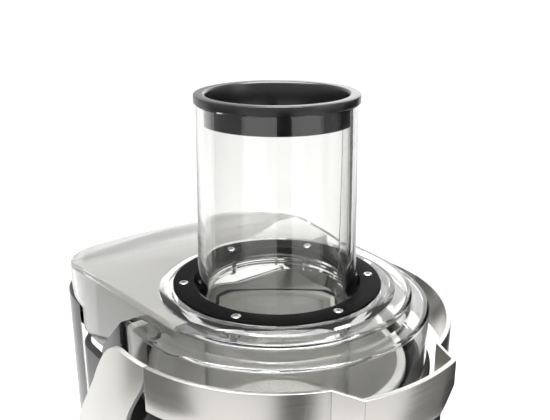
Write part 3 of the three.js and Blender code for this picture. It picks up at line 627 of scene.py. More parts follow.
class Assembly:
    """What every sub-assembly shares: its finishes, and how a finished piece is placed."""

    def __init__(self, finishes: Finishes) -> None:
        """Keeps the finishes to dress pieces with."""
        self.finishes = finishes
        self.count = 0

    def place(
        self,
        piece: bpy.types.Object,
        body: Body,
        slot: Slot,
        nodes: Sequence[str],
        look: Look | None = None,
    ) -> bpy.types.Object:
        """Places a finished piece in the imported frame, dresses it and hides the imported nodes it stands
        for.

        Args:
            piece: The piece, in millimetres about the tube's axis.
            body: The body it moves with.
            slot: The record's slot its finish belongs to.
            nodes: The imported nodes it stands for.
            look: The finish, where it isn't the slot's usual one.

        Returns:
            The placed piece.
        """
        name = piece.name
        piece.scale = (MM, MM, MM)
        piece.location = (0, axis_y(), 0)
        Bench.pick(piece)
        Bench.settle(piece, name)
        self.finishes.dress(piece, look or USUAL[slot])
        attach(piece, body.value)
        if nodes:
            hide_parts(*nodes)
        self.count += 1
        LOG.info("%s: %d faces on %s", piece.name, len(piece.data.polygons), body.value)
        return piece


# ------------------------------------------------------------------------------- base


@dataclass
class BaseUnit(Assembly):
    """The motor base: housing, steel skirt, feet, gland, hinge bosses and their caps.

    Attributes:
        finishes: The finishes.
        half: Half the housing's width.
        rear: Where its back wall stands.
        corner: The radius of its back corners.
        wall: Its wall thickness.
        tail_half: Half the width of the platform behind it.
        tail_back: Where that platform ends.
        hinge: The bow's hinge line as Y and Z.
        boss_radius: The radius of the bosses round it.
        seal_radius: The radius of the shaft seal's seat in the deck.
        dial_height: The height of the dial's spindle.
        cable: Where the mains lead would pass the right wall, as Y and Z.
        vents_at: The heights of the vents in the back wall.
    """

    finishes: Finishes
    half: float = 97.0
    rear: float = 100.0
    corner: float = 24.0
    wall: float = 3.0
    tail_half: float = 82.0
    tail_back: float = 180.0
    hinge: Point = (70.0, 156.0)
    boss_radius: float = 14.0
    seal_radius: float = 16.3
    dial_height: float = 88.0
    cable: Point = (76.0, 42.0)
    vents_at: tuple[float, ...] = (145.0, 152.0, 159.0)

    def __post_init__(self) -> None:
        """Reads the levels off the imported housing."""
        super().__init__(self.finishes)
        box = Span.of("base_housing")
        self.bottom, self.deck = box.low.z, box.high.z
        self.skirt = Span.of("steel_skirt")
        self.boss_reach = box.high.x

    def build(self) -> None:
        """Builds and places every piece."""
        self.housing()
        self.skirt_sheet()
        self.feet()
        self.gland()
        self.caps()

    def housing(self) -> None:
        """The moulded housing with its rear platform and hinge bosses."""
        low, top = self.bottom, self.deck
        platform = Span.of("pulp_container").low.z - SEAT
        body = Bench.prism("housing_shell", tub(0, self.half, self.rear, self.corner), low, top)
        Bench.soften(body, 1.6)
        tail = Bench.prism("tail", self.tail_outline(0), low, platform)
        Bench.soften(tail, 2.0)
        inner = Bench.prism(
            "inner", tub(0, self.half - self.wall, self.rear - self.wall, self.corner - self.wall), low - 1,
            top - self.wall,
        )
        tail_inner = Bench.prism("tail_inner", self.tail_outline(self.wall), low - 1, platform - self.wall)
        y, z = self.hinge
        bosses = [self.boss(side) for side in (-1, 1)]
        seal = rod("seal", self.seal_radius, top - 2 * self.wall, top + 1, 48)
        pins = rod("pins", 5.3, -120, 120, 32, at=(0, y, z), along=Along.X)
        bores = self.wall_bores(3.3, 6.3)
        Bench.combine(body, "UNION", [tail, *bosses])
        Bench.combine(body, "DIFFERENCE", [inner, tail_inner, seal, *bores, pins, *self.vents()])
        Bench.smooth(body)
        self.place(body, Body.BASE, Slot.BLACK, ["base_housing"])

    def wall_bores(self, spindle_radius: float, cable_radius: float) -> list[bpy.types.Object]:
        """The tools that bore the front wall for the spindle and the right wall for the lead."""
        near, far = self.half - 9, self.half + 9
        return [
            rod("spindle", spindle_radius, -far, -near, 24, at=(0, 0, self.dial_height), along=Along.Y),
            rod("cable", cable_radius, near, far, 32, at=(0, *self.cable), along=Along.X),
        ]

    def tail_outline(self, inset: float) -> list[Point]:
        """The rear platform's outline."""
        half = self.tail_half - inset
        return [(-half, self.rear - 10), (half, self.rear - 10)] + round_back(
            half, self.rear, self.tail_back - inset
        )

    def boss(self, side: int) -> bpy.types.Object:
        """One hinge boss on the housing's side."""
        y, z = self.hinge
        near, far = side * (self.half - 8), side * self.boss_reach
        near, far = min(near, far), max(near, far)
        piece = rod("boss", self.boss_radius, near, far, 64, at=(0, y, z), along=Along.X)
        return Bench.soften(piece, 0.9)

    def vents(self) -> list[bpy.types.Object]:
        """Slots in the back wall that let the motor's cooling air out."""
        return [
            Bench.soften(Bench.block("vent", (-26, self.rear - 8, z), (26, self.rear + 4, z + 3)), 1.2)
            for z in self.vents_at
        ]

    def skirt_sheet(self) -> None:
        """The brushed sheet wrapped round the housing."""
        low, high = self.skirt.low.z, self.skirt.high.z
        grow = self.skirt.high.x - self.half
        sheet = Bench.prism(
            "steel_skirt_sheet", tub(0, self.half + grow, self.rear + grow, self.corner + grow, 96), low, high
        )
        Bench.soften(sheet, 0.5)
        inner = Bench.prism(
            "inner", tub(0, self.half + SEAT, self.rear + SEAT, self.corner + SEAT, 96), low - 1, high + 1
        )
        Bench.combine(sheet, "DIFFERENCE", [inner, *self.wall_bores(4.5, 7.5)])
        Bench.smooth(sheet)
        self.place(sheet, Body.BASE, Slot.BRUSHED, ["steel_skirt"])

    def feet(self) -> None:
        """Four moulded feet with a flared lip and a dished tread."""
        for node in ("foot_front_left", "foot_front_right", "foot_rear_left", "foot_rear_right"):
            box = Span.of(node)
            centre = (box.low + box.high) / 2
            reach, top = (box.high.x - box.low.x) / 2, box.high.z
            foot = Bench.turn(f"{node}_rubber", [
                (0.4, 1.4), (7, 1.2), (7.6, 0.8), (8.4, 1.2), (10, 0.5), (reach - 2.4, 0.1),
                (reach - 1, 0.0), (reach - 0.2, 0.4), (reach, 1.0), (reach - 1.2, 2.4),
                (reach - 2, top - 1), (reach - 3, top), (0.4, top),
            ], (centre.x, centre.y, 0), 64)
            Bench.smooth(foot)
            self.place(foot, Body.BASE, Slot.RUBBER, [node])

    def gland(self) -> None:
        """The ribbed bush where the mains lead would leave the housing."""
        box = Span.of("cord_gland")
        y, z = (box.low.y + box.high.y) / 2, (box.low.z + box.high.z) / 2
        start, end = box.low.x, box.high.x
        face = self.skirt.high.x + SEAT
        profile: Profile = [
            (2.2, start), (6, start), (6, face), (9, face), (9, face + 2.2), (8.3, face + 3),
        ]
        reach = face + 3
        pitch = (end - reach) / 3
        for i in range(3):
            radius = 5.8 - 0.5 * i
            base = reach + i * pitch
            profile += [
                (radius - 1, base + 0.1), (radius - 1, base + 0.5 * pitch),
                (radius, base + 0.55 * pitch), (radius, base + 0.95 * pitch),
            ]
        profile += [(3.6, end), (2.2, end)]
        bush = Bench.turn("cord_gland_bush", closed(profile), (0, y, z), 48, Along.X)
        Bench.smooth(bush)
        self.place(bush, Body.BASE, Slot.RUBBER, ["cord_gland"])

    def caps(self) -> None:
        """The dished caps over the bow's hinge pins."""
        y, z = self.hinge
        for node, side in (("pivot_cap_left", -1), ("pivot_cap_right", 1)):
            box = Span.of(node)
            near, far = (box.high.x, box.low.x) if side < 0 else (box.low.x, box.high.x)
            cap = Bench.turn(f"{node}_cover", [
                (0.3, near), (10.6, near), (11, near + side * 0.4), (11, far - side * 0.9),
                (10.7, far - side * 0.3), (10.1, far), (8.8, far), (8.3, far - side * 0.5),
                (0.3, far - side * 0.9),
            ], (0, y, z), 64, Along.X)
            Bench.smooth(cap)
            self.place(cap, Body.BASE, Slot.SILVER, [node])


@dataclass
class DialUnit(Assembly):
    """The speed dial and the ring it turns in.

    Attributes:
        finishes: The finishes.
        height: The dial's height above the table.
        grips: How many flutes the knob has.
    """

    finishes: Finishes
    height: float = 88.0
    grips: int = 28

    def __post_init__(self) -> None:
        """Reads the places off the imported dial."""
        super().__init__(self.finishes)
        self.bezel = Span.of("dial_bezel")
        self.knob = Span.of("speed_dial")
        self.radius = (self.knob.high.x - self.knob.low.x) / 2

    def build(self) -> None:
        """Builds and places every piece."""
        self.bezel_ring()
        self.knob_and_mark()

    def bezel_ring(self) -> None:
        """The silver ring with three raised marks for the dial's settings."""
        reach = (self.bezel.high.x - self.bezel.low.x) / 2
        front, back = self.bezel.low.y, self.bezel.high.y
        at = (0, 0, self.height)
        ring = Bench.turn("dial_bezel_ring", closed([
            (self.radius + 1.5, back), (reach, back), (reach, front + 1.2), (reach - 1.2, front),
            (self.radius + 2.3, front), (self.radius + 1.5, front + 0.8),
        ]), at, 96, Along.Y)
        floor = rod("floor", self.radius + 2, front + 2, back, 96, at=at, along=Along.Y)
        marks = []
        for angle in (30, 90, 150):
            turn = math.radians(angle)
            middle = self.radius + 4.6
            marks.append(Bench.soften(rod(
                "mark", 0.9, front, front + 1.5, 24,
                at=(middle * math.cos(turn), 0, self.height + middle * math.sin(turn)), along=Along.Y,
            ), 0.2))
        Bench.combine(ring, "UNION", [floor])
        skirt_radius = Span.of("steel_skirt").high.x + SEAT
        skin = rod("skin", skirt_radius, self.height - 60, self.height + 60, 192)
        spindle = rod("spindle", 4.5, front - 9, back + 9, 32, at=at, along=Along.Y)
        Bench.combine(ring, "DIFFERENCE", [skin, spindle, *marks])
        Bench.smooth(ring)
        self.place(ring, Body.BASE, Slot.SILVER, ["dial_bezel"])

    def knob_and_mark(self) -> None:
        """The fluted knob with its finger ridge, and the pale mark let into the ridge."""
        front, back = self.knob.low.y, self.knob.high.y
        face, rear = front + 3, self.bezel.low.y + 1.7
        at = (0, 0, self.height)
        knob = Bench.turn("speed_dial_knob", [
            (3, back), (3, rear), (self.radius - 0.4, rear), (self.radius, rear - 0.6),
            (self.radius, face + 3.4), (self.radius - 0.5, face + 1.6), (self.radius - 1.8, face + 0.4),
            (self.radius - 3.4, face), (0.4, face),
        ], at, 168, Along.Y)
        flutes = []
        flute_pitch = self.radius + 0.25
        for i in range(self.grips):
            turn = 2 * math.pi * i / self.grips
            foot = (flute_pitch * math.cos(turn), 0, self.height + flute_pitch * math.sin(turn))
            flutes.append(rod("flute", 0.8, face + 1, rear - 3, 12, at=foot, along=Along.Y))
        Bench.combine(knob, "DIFFERENCE", flutes)
        ends = self.radius - 2
        ridge = Bench.soften(Bench.block(
            "ridge", (-2.5, front, self.height - ends), (2.5, face + 1, self.height + ends)
        ), 1.0)
        slot = Bench.block("slot", (-0.7, front - 1, self.height + 4), (0.7, front + 0.5, self.height + 13))
        Bench.combine(knob, "UNION", [ridge])
        Bench.combine(knob, "DIFFERENCE", [slot])
        Bench.smooth(knob)
        self.place(knob, Body.DIAL, Slot.BLACK, ["speed_dial"])
        mark = Bench.soften(Bench.block(
            "dial_mark", (-0.65, front + 0.02, self.height + 4.05), (0.65, front + 0.5, self.height + 12.95)
        ), 0.1)
        self.place(mark, Body.DIAL, Slot.GREY, [])


# ------------------------------------------------------------------------------- bowl and basket


@dataclass
class BowlUnit(Assembly):
    """The juice bowl with its spout.

    Attributes:
        finishes: The finishes.
        half: Half its width.
        rear: Where its back wall stands.
        corner: The radius of its back corners.
        pocket: The radius of the round pocket that the basket spins in.
        wall: Its wall thickness.
        floor: Its floor thickness.
        spout_half: Half the width of the block in front of the pocket.
        spout_reach: How far that block stands from the axis.
        nozzle_half: Half the width of the nozzle.
        spout_span: The half angle of the block's round front, in degrees.
        drain: The radius of the floor's middle bore.
        liner_inset: How far the deck's liner keeps inside the walls.
        liner_front: Where that liner starts.
    """

    finishes: Finishes
    half: float = 98.0
    rear: float = 101.0
    corner: float = 25.0
    pocket: float = 86.0
    wall: float = 3.0
    floor: float = 3.5
    spout_half: float = 29.0
    spout_reach: float = 118.0
    nozzle_half: float = 19.0
    spout_span: float = 14.2
    drain: float = 24.0
    liner_inset: float = 4.5
    liner_front: float = -12.0

    def __post_init__(self) -> None:
        """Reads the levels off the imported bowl."""
        super().__init__(self.finishes)
        box = Span.of("juice_bowl")
        self.low, self.spout_top, self.front = box.low.z, box.high.z, box.low.y
        self.top = Span.of("basket_rim").high.z

    def build(self) -> None:
        """Builds and places the bowl and the liner on its deck."""
        low, top = self.low, self.top
        bowl = Bench.prism("juice_bowl_moulding", tub(0, self.half, self.rear, self.corner, 96), low, top)
        Bench.soften(bowl, 1.4)
        hollow = Bench.prism(
            "hollow", tub(0, self.half - self.wall, self.rear - self.wall, self.corner - self.wall), low - 1,
            top - self.wall,
        )
        Bench.combine(hollow, "DIFFERENCE", [rod("keep", self.pocket + self.wall, low - 2, top, 128)])
        Bench.combine(bowl, "DIFFERENCE", [hollow])
        Bench.combine(bowl, "UNION", [self.spout(), self.nozzle()])
        channel = Bench.soften(Bench.block(
            "channel", (3 - self.nozzle_half, self.front - 1, low + 6), (self.nozzle_half - 3, -60, low + 29)
        ), 1.2)
        Bench.combine(bowl, "DIFFERENCE", [
            channel,
            rod("pocket", self.pocket, low + self.floor, self.spout_top + 1, 128),
            rod("drain", self.drain, low - 1, low + self.floor + 1, 64),
        ])
        bore, outer, rise = self.drain, self.drain + self.wall, low + 7.7
        neck = Bench.turn("neck", closed([(bore, low), (outer, low), (outer, rise), (bore, rise)]), sides=64)
        Bench.combine(bowl, "UNION", [neck])
        Bench.smooth(bowl)
        self.place(bowl, Body.BASE, Slot.BLACK, ["juice_bowl"])
        self.deck_liner()

    def deck_liner(self) -> None:
        """The pale plate that lines the deck under the pulp channel."""
        high = Span.of("lid_cover").low.z - 0.04
        inset = self.liner_inset
        outline = tub(0, self.half - inset, self.rear - inset, self.corner - inset, 96)
        plate = Bench.prism("pulp_deck_liner", outline, self.top + 0.01, high)
        front = Bench.block("front", (-FAR, -FAR, self.top - 9), (FAR, self.liner_front, self.top + 9))
        pocket = rod("pocket", self.pocket + 0.6, self.top - 9, high + 9, 128)
        Bench.combine(plate, "DIFFERENCE", [pocket, front])
        Bench.smooth(plate)
        self.place(plate, Body.BASE, Slot.GREY, [])

    def spout(self) -> bpy.types.Object:
        """The block in front of the pocket, rounded with the bow's bulge."""
        low, high = self.low + 14, self.spout_top
        outer = arc((0, 0), self.spout_reach, 270 - self.spout_span, 270 + self.spout_span, 24)
        root = [(self.spout_half, -88), (-self.spout_half, -88)]
        block = Bench.prism("spout", outer + root, low, high)
        Bench.soften(block, 1.6)
        return Bench.combine(block, "DIFFERENCE", [
            rod("ledge_room", 96.5, self.top, high + 2, 128),
            rod("pocket_room", self.pocket + self.wall, self.low, self.top + 1, 128),
        ])

    def nozzle(self) -> bpy.types.Object:
        """The square nozzle under the block."""
        return Bench.soften(Bench.block(
            "nozzle", (-self.nozzle_half, self.front, self.low + 3), (self.nozzle_half, -90, self.low + 32)
        ), 2.2)


@dataclass
class BasketUnit(Assembly):
    """The spinning basket: its base, grating disc, steel sieve and rim.

    Attributes:
        finishes: The finishes.
        hub_radius: The radius of the hub under the base.
        socket: The radius of the socket for the coupling.
        rib_count: How many radial ribs the disc has.
        tooth_rows: The radii of its rows of teeth.
    """

    finishes: Finishes
    hub_radius: float = 19.0
    socket: float = 11.4
    rib_count: int = 10
    tooth_rows: tuple[float, ...] = (14.0, 21.0, 28.0, 35.0, 41.0)

    def __post_init__(self) -> None:
        """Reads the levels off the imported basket."""
        super().__init__(self.finishes)
        self.base = Span.of("basket_base")
        self.disc = Span.of("grating_disc")
        self.sieve = Span.of("sieve_cone")
        self.rim = Span.of("basket_rim")

    def build(self) -> None:
        """Builds and places every piece."""
        self.basket_base()
        self.grating_disc()
        self.sieve_cone()
        self.basket_rim()

    def basket_base(self) -> None:
        """The moulded base that carries the sieve and the disc."""
        low, top, reach = self.base.low.z, self.base.high.z, self.base.high.x
        seat = self.disc.low.z - SEAT
        base = Bench.turn("basket_base_moulding", [
            (5.5, seat - 2), (self.socket, seat - 2), (self.socket, low), (self.hub_radius, low),
            (self.hub_radius, low + 4), (reach, low + 4), (reach, top), (self.disc.high.x + SEAT, top),
            (self.disc.high.x + SEAT, seat), (5.5, seat), (5.5, seat - 2),
        ], sides=128)
        Bench.soften(base, 0.4, 2)
        self.place(base, Body.DRIVE, Slot.GREY, ["basket_base"])

    def grating_disc(self) -> None:
        """The disc with its radial ribs and rows of small raised teeth."""
        low, top, reach = self.disc.low.z, self.disc.high.z, self.disc.high.x
        face = top - 0.9
        disc = Bench.turn("grating_disc_plate", [
            (0.4, low), (reach - 0.4, low), (reach, low + 0.4), (reach, face - 0.4), (reach - 0.4, face),
            (0.4, face),
        ], sides=128)
        rib = Bench.soften(Bench.block("rib", (9, -0.55, face - 0.4), (reach - 4, 0.55, face + 0.55)), 0.2)
        tooth = Bench.turn("tooth", [(0.95, face - 0.3), (0.95, face + 0.1), (0.2, face + 0.9)], sides=6)
        rows = []
        for row, radius in enumerate(self.tooth_rows):
            count = 6 + 4 * row
            seed = Bench.copy(tooth, "seed", (radius, 0, 0))
            rows.append(Bench.around(seed, "teeth", [360 * i / count + 7 * row for i in range(count)]))
        bpy.data.objects.remove(tooth)
        ribs = Bench.around(rib, "ribs", [360 * i / self.rib_count for i in range(self.rib_count)])
        Bench.combine(disc, "UNION", [ribs, *rows])
        Bench.smooth(disc)
        self.place(disc, Body.DRIVE, Slot.GREY, ["grating_disc"])

    def sieve_cone(self) -> None:
        """The steel sieve: one conical sheet with three pressed bands."""
        low, top = self.sieve.low.z, self.sieve.high.z
        foot, mouth = self.base.high.x, self.sieve.high.x
        outer: Profile = []
        steps = 24
        for i in range(steps + 1):
            share = i / steps
            swell = 0.35 if i % 8 == 4 else 0.0
            outer.append((foot + (mouth - foot) * share - 0.35 + swell, low + (top - low) * share))
        inner = [(radius - 0.7, height) for radius, height in reversed(outer)]
        cone = Bench.turn("sieve_cone_sheet", closed(outer + inner), sides=144)
        Bench.smooth(cone)
        self.place(cone, Body.DRIVE, Slot.BRUSHED, ["sieve_cone"], Look.SIEVE)

    def basket_rim(self) -> None:
        """The pale moulded rim clipped over the sieve."""
        low, top, reach = self.rim.low.z, self.rim.high.z, self.rim.high.x
        ring = Bench.turn("basket_rim_moulding", closed([
            (reach - 6, low), (reach - 0.5, low), (reach, low + 0.5), (reach, top - 1.4),
            (reach - 0.5, top - 0.5), (reach - 1.4, top), (reach - 5, top), (reach - 5.7, top - 0.3),
            (reach - 6, top - 1),
        ]), sides=144)
        Bench.smooth(ring)
        self.place(ring, Body.DRIVE, Slot.GREY, ["basket_rim"])


# ------------------------------------------------------------------------------- lid and tube


@dataclass
class LidUnit(Assembly):
    """The clear lid with its ledge, raised boss and latches.

    Attributes:
        finishes: The finishes.
        wall: Its wall thickness.
        plateau_radius: The radius of the raised top at the front.
        ledge_radius: The radius of the ledge round it.
        ledge_drop: How far the ledge lies below the top.
        ledge_rear: Where the ledge ends.
        rear_half: Half the lid's width over the pulp channel.
        rear_y: Where the round back starts.
        back: Where the lid ends.
        slope_start: Where the top starts to fall.
        slope_drop: How far it falls.
        edge: The radius of its outer edges.
        crease: The radius of the bend where the top starts to fall.
        liner_front: Where the pulp channel's liner starts on the left.
        liner_foot: Where it starts below the ledge.
        liner_right: Where it starts on the right.
        liner_wall: The liner's thickness.
        mouth: The radius of the opening that the tube passes.
        ring_inner: The inner radius of the ring that clamps the tube.
        latch_length: How far a latch runs back.
    """

    finishes: Finishes
    wall: float = 3.0
    plateau_radius: float = 84.2
    ledge_radius: float = 95.0
    ledge_drop: float = 8.2
    ledge_rear: float = 24.0
    rear_half: float = 90.0
    rear_y: float = 76.0
    back: float = 182.0
    slope_start: float = 87.0
    slope_drop: float = 19.0
    edge: float = 2.2
    crease: float = 170.0
    liner_front: float = -13.0
    liner_foot: float = 14.0
    liner_right: float = 40.0
    liner_wall: float = 0.8
    mouth: float = 48.1
    ring_inner: float = 52.0
    latch_length: float = 31.0

    def __post_init__(self) -> None:
        """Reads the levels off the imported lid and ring."""
        super().__init__(self.finishes)
        self.low = Span.of("lid_cover").low.z
        self.ring = Span.of("retaining_ring")
        self.plateau = self.ring.high.z - 3
        self.ledge = self.plateau - self.ledge_drop
        self.recess = Span.of("tube_gasket").low.z - SEAT
        self.rear_low = Span.of("pulp_container").high.z + 2.0

    def build(self) -> None:
        """Builds and places every piece."""
        self.cover()
        self.hood_liner()
        self.latches()

    def plan(self, inset: float) -> list[Point]:
        """The raised top's outline."""
        return arc((0, 0), self.plateau_radius - inset, 180, 360, 96) + round_back(
            self.rear_half - inset, self.rear_y, self.back - inset, 36
        )

    def form(self, inset: float, low: float, edge: float) -> bpy.types.Object:
        """The lid's closed form, shrunk by an inset, with rounded upper edges.

        Args:
            inset: How far every outer face moves in.
            low: Where its flat underside is.
            edge: The radius of its edges.

        Returns:
            The closed form.
        """
        top = self.plateau - inset
        main = Bench.prism("form", self.plan(inset), low - 12, top)
        reach = self.back + 1
        fall = math.atan2(self.slope_drop, reach - self.slope_start)
        bend_start = self.slope_start - self.crease * math.tan(fall / 2)
        bend = arc((bend_start, top - self.crease), self.crease, 90, 90 - math.degrees(fall), 16)
        slope = Bench.side_prism("slope", bend + [
            (reach, top - self.slope_drop), (reach, top + 5), (bend_start, top + 5),
        ], -2 * self.rear_half, 2 * self.rear_half)
        Bench.combine(main, "DIFFERENCE", [slope])
        Bench.tidy(main)
        Bench.soften(main, edge, 5)
        radius, ledge_back = self.ledge_radius - inset, self.ledge_rear - inset
        ledge = Bench.prism(
            "ledge", arc((0, 0), radius, 180, 360, 96) + [(radius, ledge_back), (-radius, ledge_back)],
            low - 12, self.ledge - inset,
        )
        Bench.soften(ledge, edge, 5)
        Bench.combine(main, "UNION", [ledge])
        under = Bench.block("under", (-FAR, -FAR, low - 30), (FAR, FAR + 100, low))
        return Bench.combine(main, "DIFFERENCE", [under])

    def cover(self) -> None:
        """The clear cover: a thin shell with the tube's boss let into it."""
        cover = self.form(0, self.low, self.edge)
        cover.name = "lid_cover_clear"
        Bench.combine(cover, "DIFFERENCE", [self.form(self.wall, self.low - 1, 0.9)])
        Bench.combine(cover, "DIFFERENCE", [self.rise(101.5, self.rear_low)])
        outer = self.ring.high.x + 3.3
        top = self.plateau
        cup = Bench.turn("cup", [
            (20, self.recess - 3), (outer, self.recess - 3), (outer, top - 2), (outer + 5.4, top - 2),
            (outer + 5.4, top + 0.02), (outer + 4.2, top + 0.7), (outer + 1.2, top + 1.8), (outer, top + 2),
            (20, top + 2),
        ], sides=128)
        post = rod("post", 4, self.recess - 8, self.recess - 1, 32, at=(self.pitch, 0, 0))
        posts = Bench.around(post, "posts", self.angles())
        Bench.combine(cover, "UNION", [cup, posts])
        bore = rod("bore", self.ring.high.x + SEAT, self.recess, top + 9, 128)
        mouth = rod("mouth", self.mouth, self.recess - 9, top + 9, 128)
        hole = rod("hole", 1.9, self.ring.high.z - 15.5, top + 9, 24, at=(self.pitch, 0, 0))
        holes = Bench.around(hole, "holes", self.angles())
        Bench.combine(cover, "DIFFERENCE", [bore, mouth, holes])
        Bench.tidy(cover)
        Bench.smooth(cover)
        self.place(cover, Body.LID, Slot.CLEAR, ["lid_cover"])

    def rise(self, front: float, high: float) -> bpy.types.Object:
        """The tool that lifts the underside over the pulp container."""
        return Bench.block("rise", (-FAR, front, self.low - 40), (FAR, FAR + 100, high))

    def hood_liner(self) -> None:
        """The silver sheet that lines the lid over the pulp channel."""
        liner = self.form(self.wall + 0.05, self.low + SEAT, 0.9)
        liner.name = "pulp_hood_liner"
        inside = self.form(self.wall + 0.05 + self.liner_wall, self.low - 1, 0.6)
        Bench.combine(liner, "DIFFERENCE", [inside])
        low, top = self.low - 40, self.plateau + 9
        fronts = [
            Bench.block("front", (-FAR, -FAR, low), (FAR, self.liner_front, top)),
            Bench.block("front", (-FAR, -FAR, low), (FAR, self.liner_foot, self.ledge)),
            Bench.block("front", (0, -FAR, low), (FAR, self.liner_right, top)),
        ]
        room = rod("room", self.ring.high.x + 8.9, low, top, 128)
        Bench.combine(liner, "DIFFERENCE", [*fronts, self.rise(101, self.rear_low + SEAT), room])
        Bench.tidy(liner)
        Bench.smooth(liner)
        self.place(liner, Body.LID, Slot.SILVER, [], Look.HOOD)

    @property
    def pitch(self) -> float:
        """The radius that the ring's screws stand on."""
        return (self.ring.high.x + self.ring_inner) / 2

    @staticmethod
    def angles() -> list[float]:
        """Where the ring's screws stand, in degrees."""
        return [-90 + 60 * i for i in range(6)]

    def latches(self) -> None:
        """The black wedges on the lid's sides that the bow's arms close over."""
        front = self.ledge_rear + SEAT
        back = front + self.latch_length
        top = self.plateau
        wedge = Bench.side_prism("latch", [
            (front, self.low), (back, self.low), (back, top - 41), (back - 3, top - 35),
            (front + 14, top - 22), (front, top - 8.5),
        ], self.plateau_radius, Span.of("lid_latch_right").high.x)
        Bench.soften(wedge, 1.1)
        Bench.combine(wedge, "DIFFERENCE", [self.form(-SEAT, self.low - 1, 0.5)])
        Bench.tidy(wedge)
        Bench.smooth(wedge)
        left = Bench.mirrored(wedge, "lid_latch_left_wedge")
        wedge.name = "lid_latch_right_wedge"
        self.place(wedge, Body.LID, Slot.BLACK, ["lid_latch_right"])
        self.place(left, Body.LID, Slot.BLACK, ["lid_latch_left"])


@dataclass
class TubeUnit(Assembly):
    """The whole-fruit feed tube, its rim, and the ring that holds it in the lid.

    Attributes:
        finishes: The finishes.
        bore_top: The bore's radius at the top.
        bore_low: The bore's radius at the ring and below.
        chute: The outer radius below the ring.
        foot: The outer radius just above the ring.
        rib_angle: Where the guide rib stands, in degrees.
        screw_radius: The radius of a screw's head.
    """

    finishes: Finishes
    bore_top: float = 43.4
    bore_low: float = 45.5
    chute: float = 47.5
    foot: float = 50.8
    rib_angle: float = -40.0
    screw_radius: float = 3.1

    def __post_init__(self) -> None:
        """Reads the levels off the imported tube, rim and ring."""
        super().__init__(self.finishes)
        self.tube = Span.of("feed_tube")
        self.rim = Span.of("tube_rim")
        self.ring = Span.of("retaining_ring")
        self.inner = self.foot + 1.2
        self.pitch = (self.ring.high.x + self.inner) / 2

    def build(self) -> None:
        """Builds and places every piece."""
        self.clear_tube()
        self.top_rim()
        self.ring_plate()
        self.screws()
        self.gasket()

    def clear_tube(self) -> None:
        """The clear tube from its rim down to the disc, with its flange and guide rib."""
        low, top, ring = self.tube.low.z, self.tube.high.z, self.ring.high.z
        flange, under = self.ring.low.z - SEAT, self.ring.low.z - 3.3
        outer = self.tube.high.x
        tube = Bench.turn("feed_tube_clear", closed([
            (self.bore_low + 0.5, low), (self.chute - 0.5, low), (self.chute, low + 0.5),
            (self.chute, under), (outer, under), (outer, flange), (self.foot, flange),
            (self.foot, ring), (self.foot - 0.35, ring + 4), (self.foot - 1.2, ring + 10),
            (self.bore_low + 3.6, ring + 16), (self.bore_top + 4.1, top - 0.5), (self.bore_top + 3.6, top),
            (self.bore_top, top), (self.bore_top, self.rim.low.z - 1), (self.bore_low, ring),
            (self.bore_low, low + 0.5),
        ]), sides=144)
        Bench.smooth(tube)
        rib = Bench.soften(Bench.block(
            "rib", (self.bore_top - 4.5, -1.5, low + 5), (self.bore_top + 2.6, 1.5, self.rim.low.z - 2)
        ), 0.7)
        Bench.combine(tube, "UNION", [Bench.around(rib, "rib", [self.rib_angle])])
        holes = Bench.around(
            rod("hole", 2.1, under - 1, flange + 1, 24, at=(self.pitch, 0, 0)), "holes", LidUnit.angles()
        )
        Bench.combine(tube, "DIFFERENCE", [holes])
        Bench.smooth(tube)
        self.place(tube, Body.LID, Slot.CLEAR, ["feed_tube"])

    def top_rim(self) -> None:
        """The black rim pressed into the tube's mouth."""
        low, top, reach = self.rim.low.z, self.rim.high.z, self.rim.high.x
        seat = self.tube.high.z + SEAT
        collar = self.bore_top - SEAT
        bore = collar - 1.1
        rim = Bench.turn("tube_rim_moulding", closed([
            (bore, low + 0.3), (bore + 0.3, low), (collar - 0.3, low), (collar, low + 0.3), (collar, seat),
            (reach - 0.4, seat), (reach, seat + 0.4), (reach, top - 0.9), (reach - 0.25, top - 0.3),
            (reach - 0.9, top), (bore + 1.6, top), (bore + 0.9, top - 0.25), (bore + 0.3, top - 0.8),
            (bore, top - 1.6),
        ]), sides=144)
        Bench.smooth(rim)
        self.place(rim, Body.LID, Slot.BLACK, ["tube_rim"])

    def ring_plate(self) -> None:
        """The flat black ring with six countersunk screw seats."""
        low, top, reach = self.ring.low.z, self.ring.high.z, self.ring.high.x
        ring = Bench.turn("retaining_ring_plate", closed([
            (self.inner, low), (reach, low), (reach, top - 0.7), (reach - 0.2, top - 0.2), (reach - 0.7, top),
            (self.inner + 0.7, top), (self.inner + 0.2, top - 0.2), (self.inner, top - 0.7),
        ]), sides=144)
        seat = Bench.turn("seat", [
            (1.9, low - 1), (1.9, top - 1.8), (self.screw_radius + 0.15, top - 1.5),
            (self.screw_radius + 0.35, top + 1),
        ], (self.pitch, 0, 0), 32)
        Bench.combine(ring, "DIFFERENCE", [Bench.around(seat, "seats", LidUnit.angles())])
        Bench.smooth(ring)
        self.place(ring, Body.LID, Slot.BLACK, ["retaining_ring"], Look.RING)

    def screws(self) -> None:
        """Six button-headed screws with a hexagon socket."""
        top = self.ring.high.z
        low = Span.of("ring_screw_1").low.z
        radius = self.screw_radius
        screw = Bench.turn("screw", [
            (0.3, low), (1.2, low), (1.6, low + 0.8), (1.6, top - 1.3), (radius, top - 1.3),
            (radius, top - 0.5), (radius - 0.3, top - 0.15), (radius - 0.8, top + 0.06), (0.3, top + 0.1),
        ], sides=32)
        Bench.combine(screw, "DIFFERENCE", [rod("socket", 1.35, top - 0.9, top + 2, 6)])
        Bench.smooth(screw)
        for i, angle in enumerate(LidUnit.angles()):
            turn = math.radians(angle)
            spot = (self.pitch * math.cos(turn), self.pitch * math.sin(turn), 0)
            twin = Bench.copy(screw, f"ring_screw_{i + 1}_steel", spot, turn=17.0 * i)
            self.place(twin, Body.LID, Slot.STEEL, [f"ring_screw_{i + 1}"])
        bpy.data.objects.remove(screw)

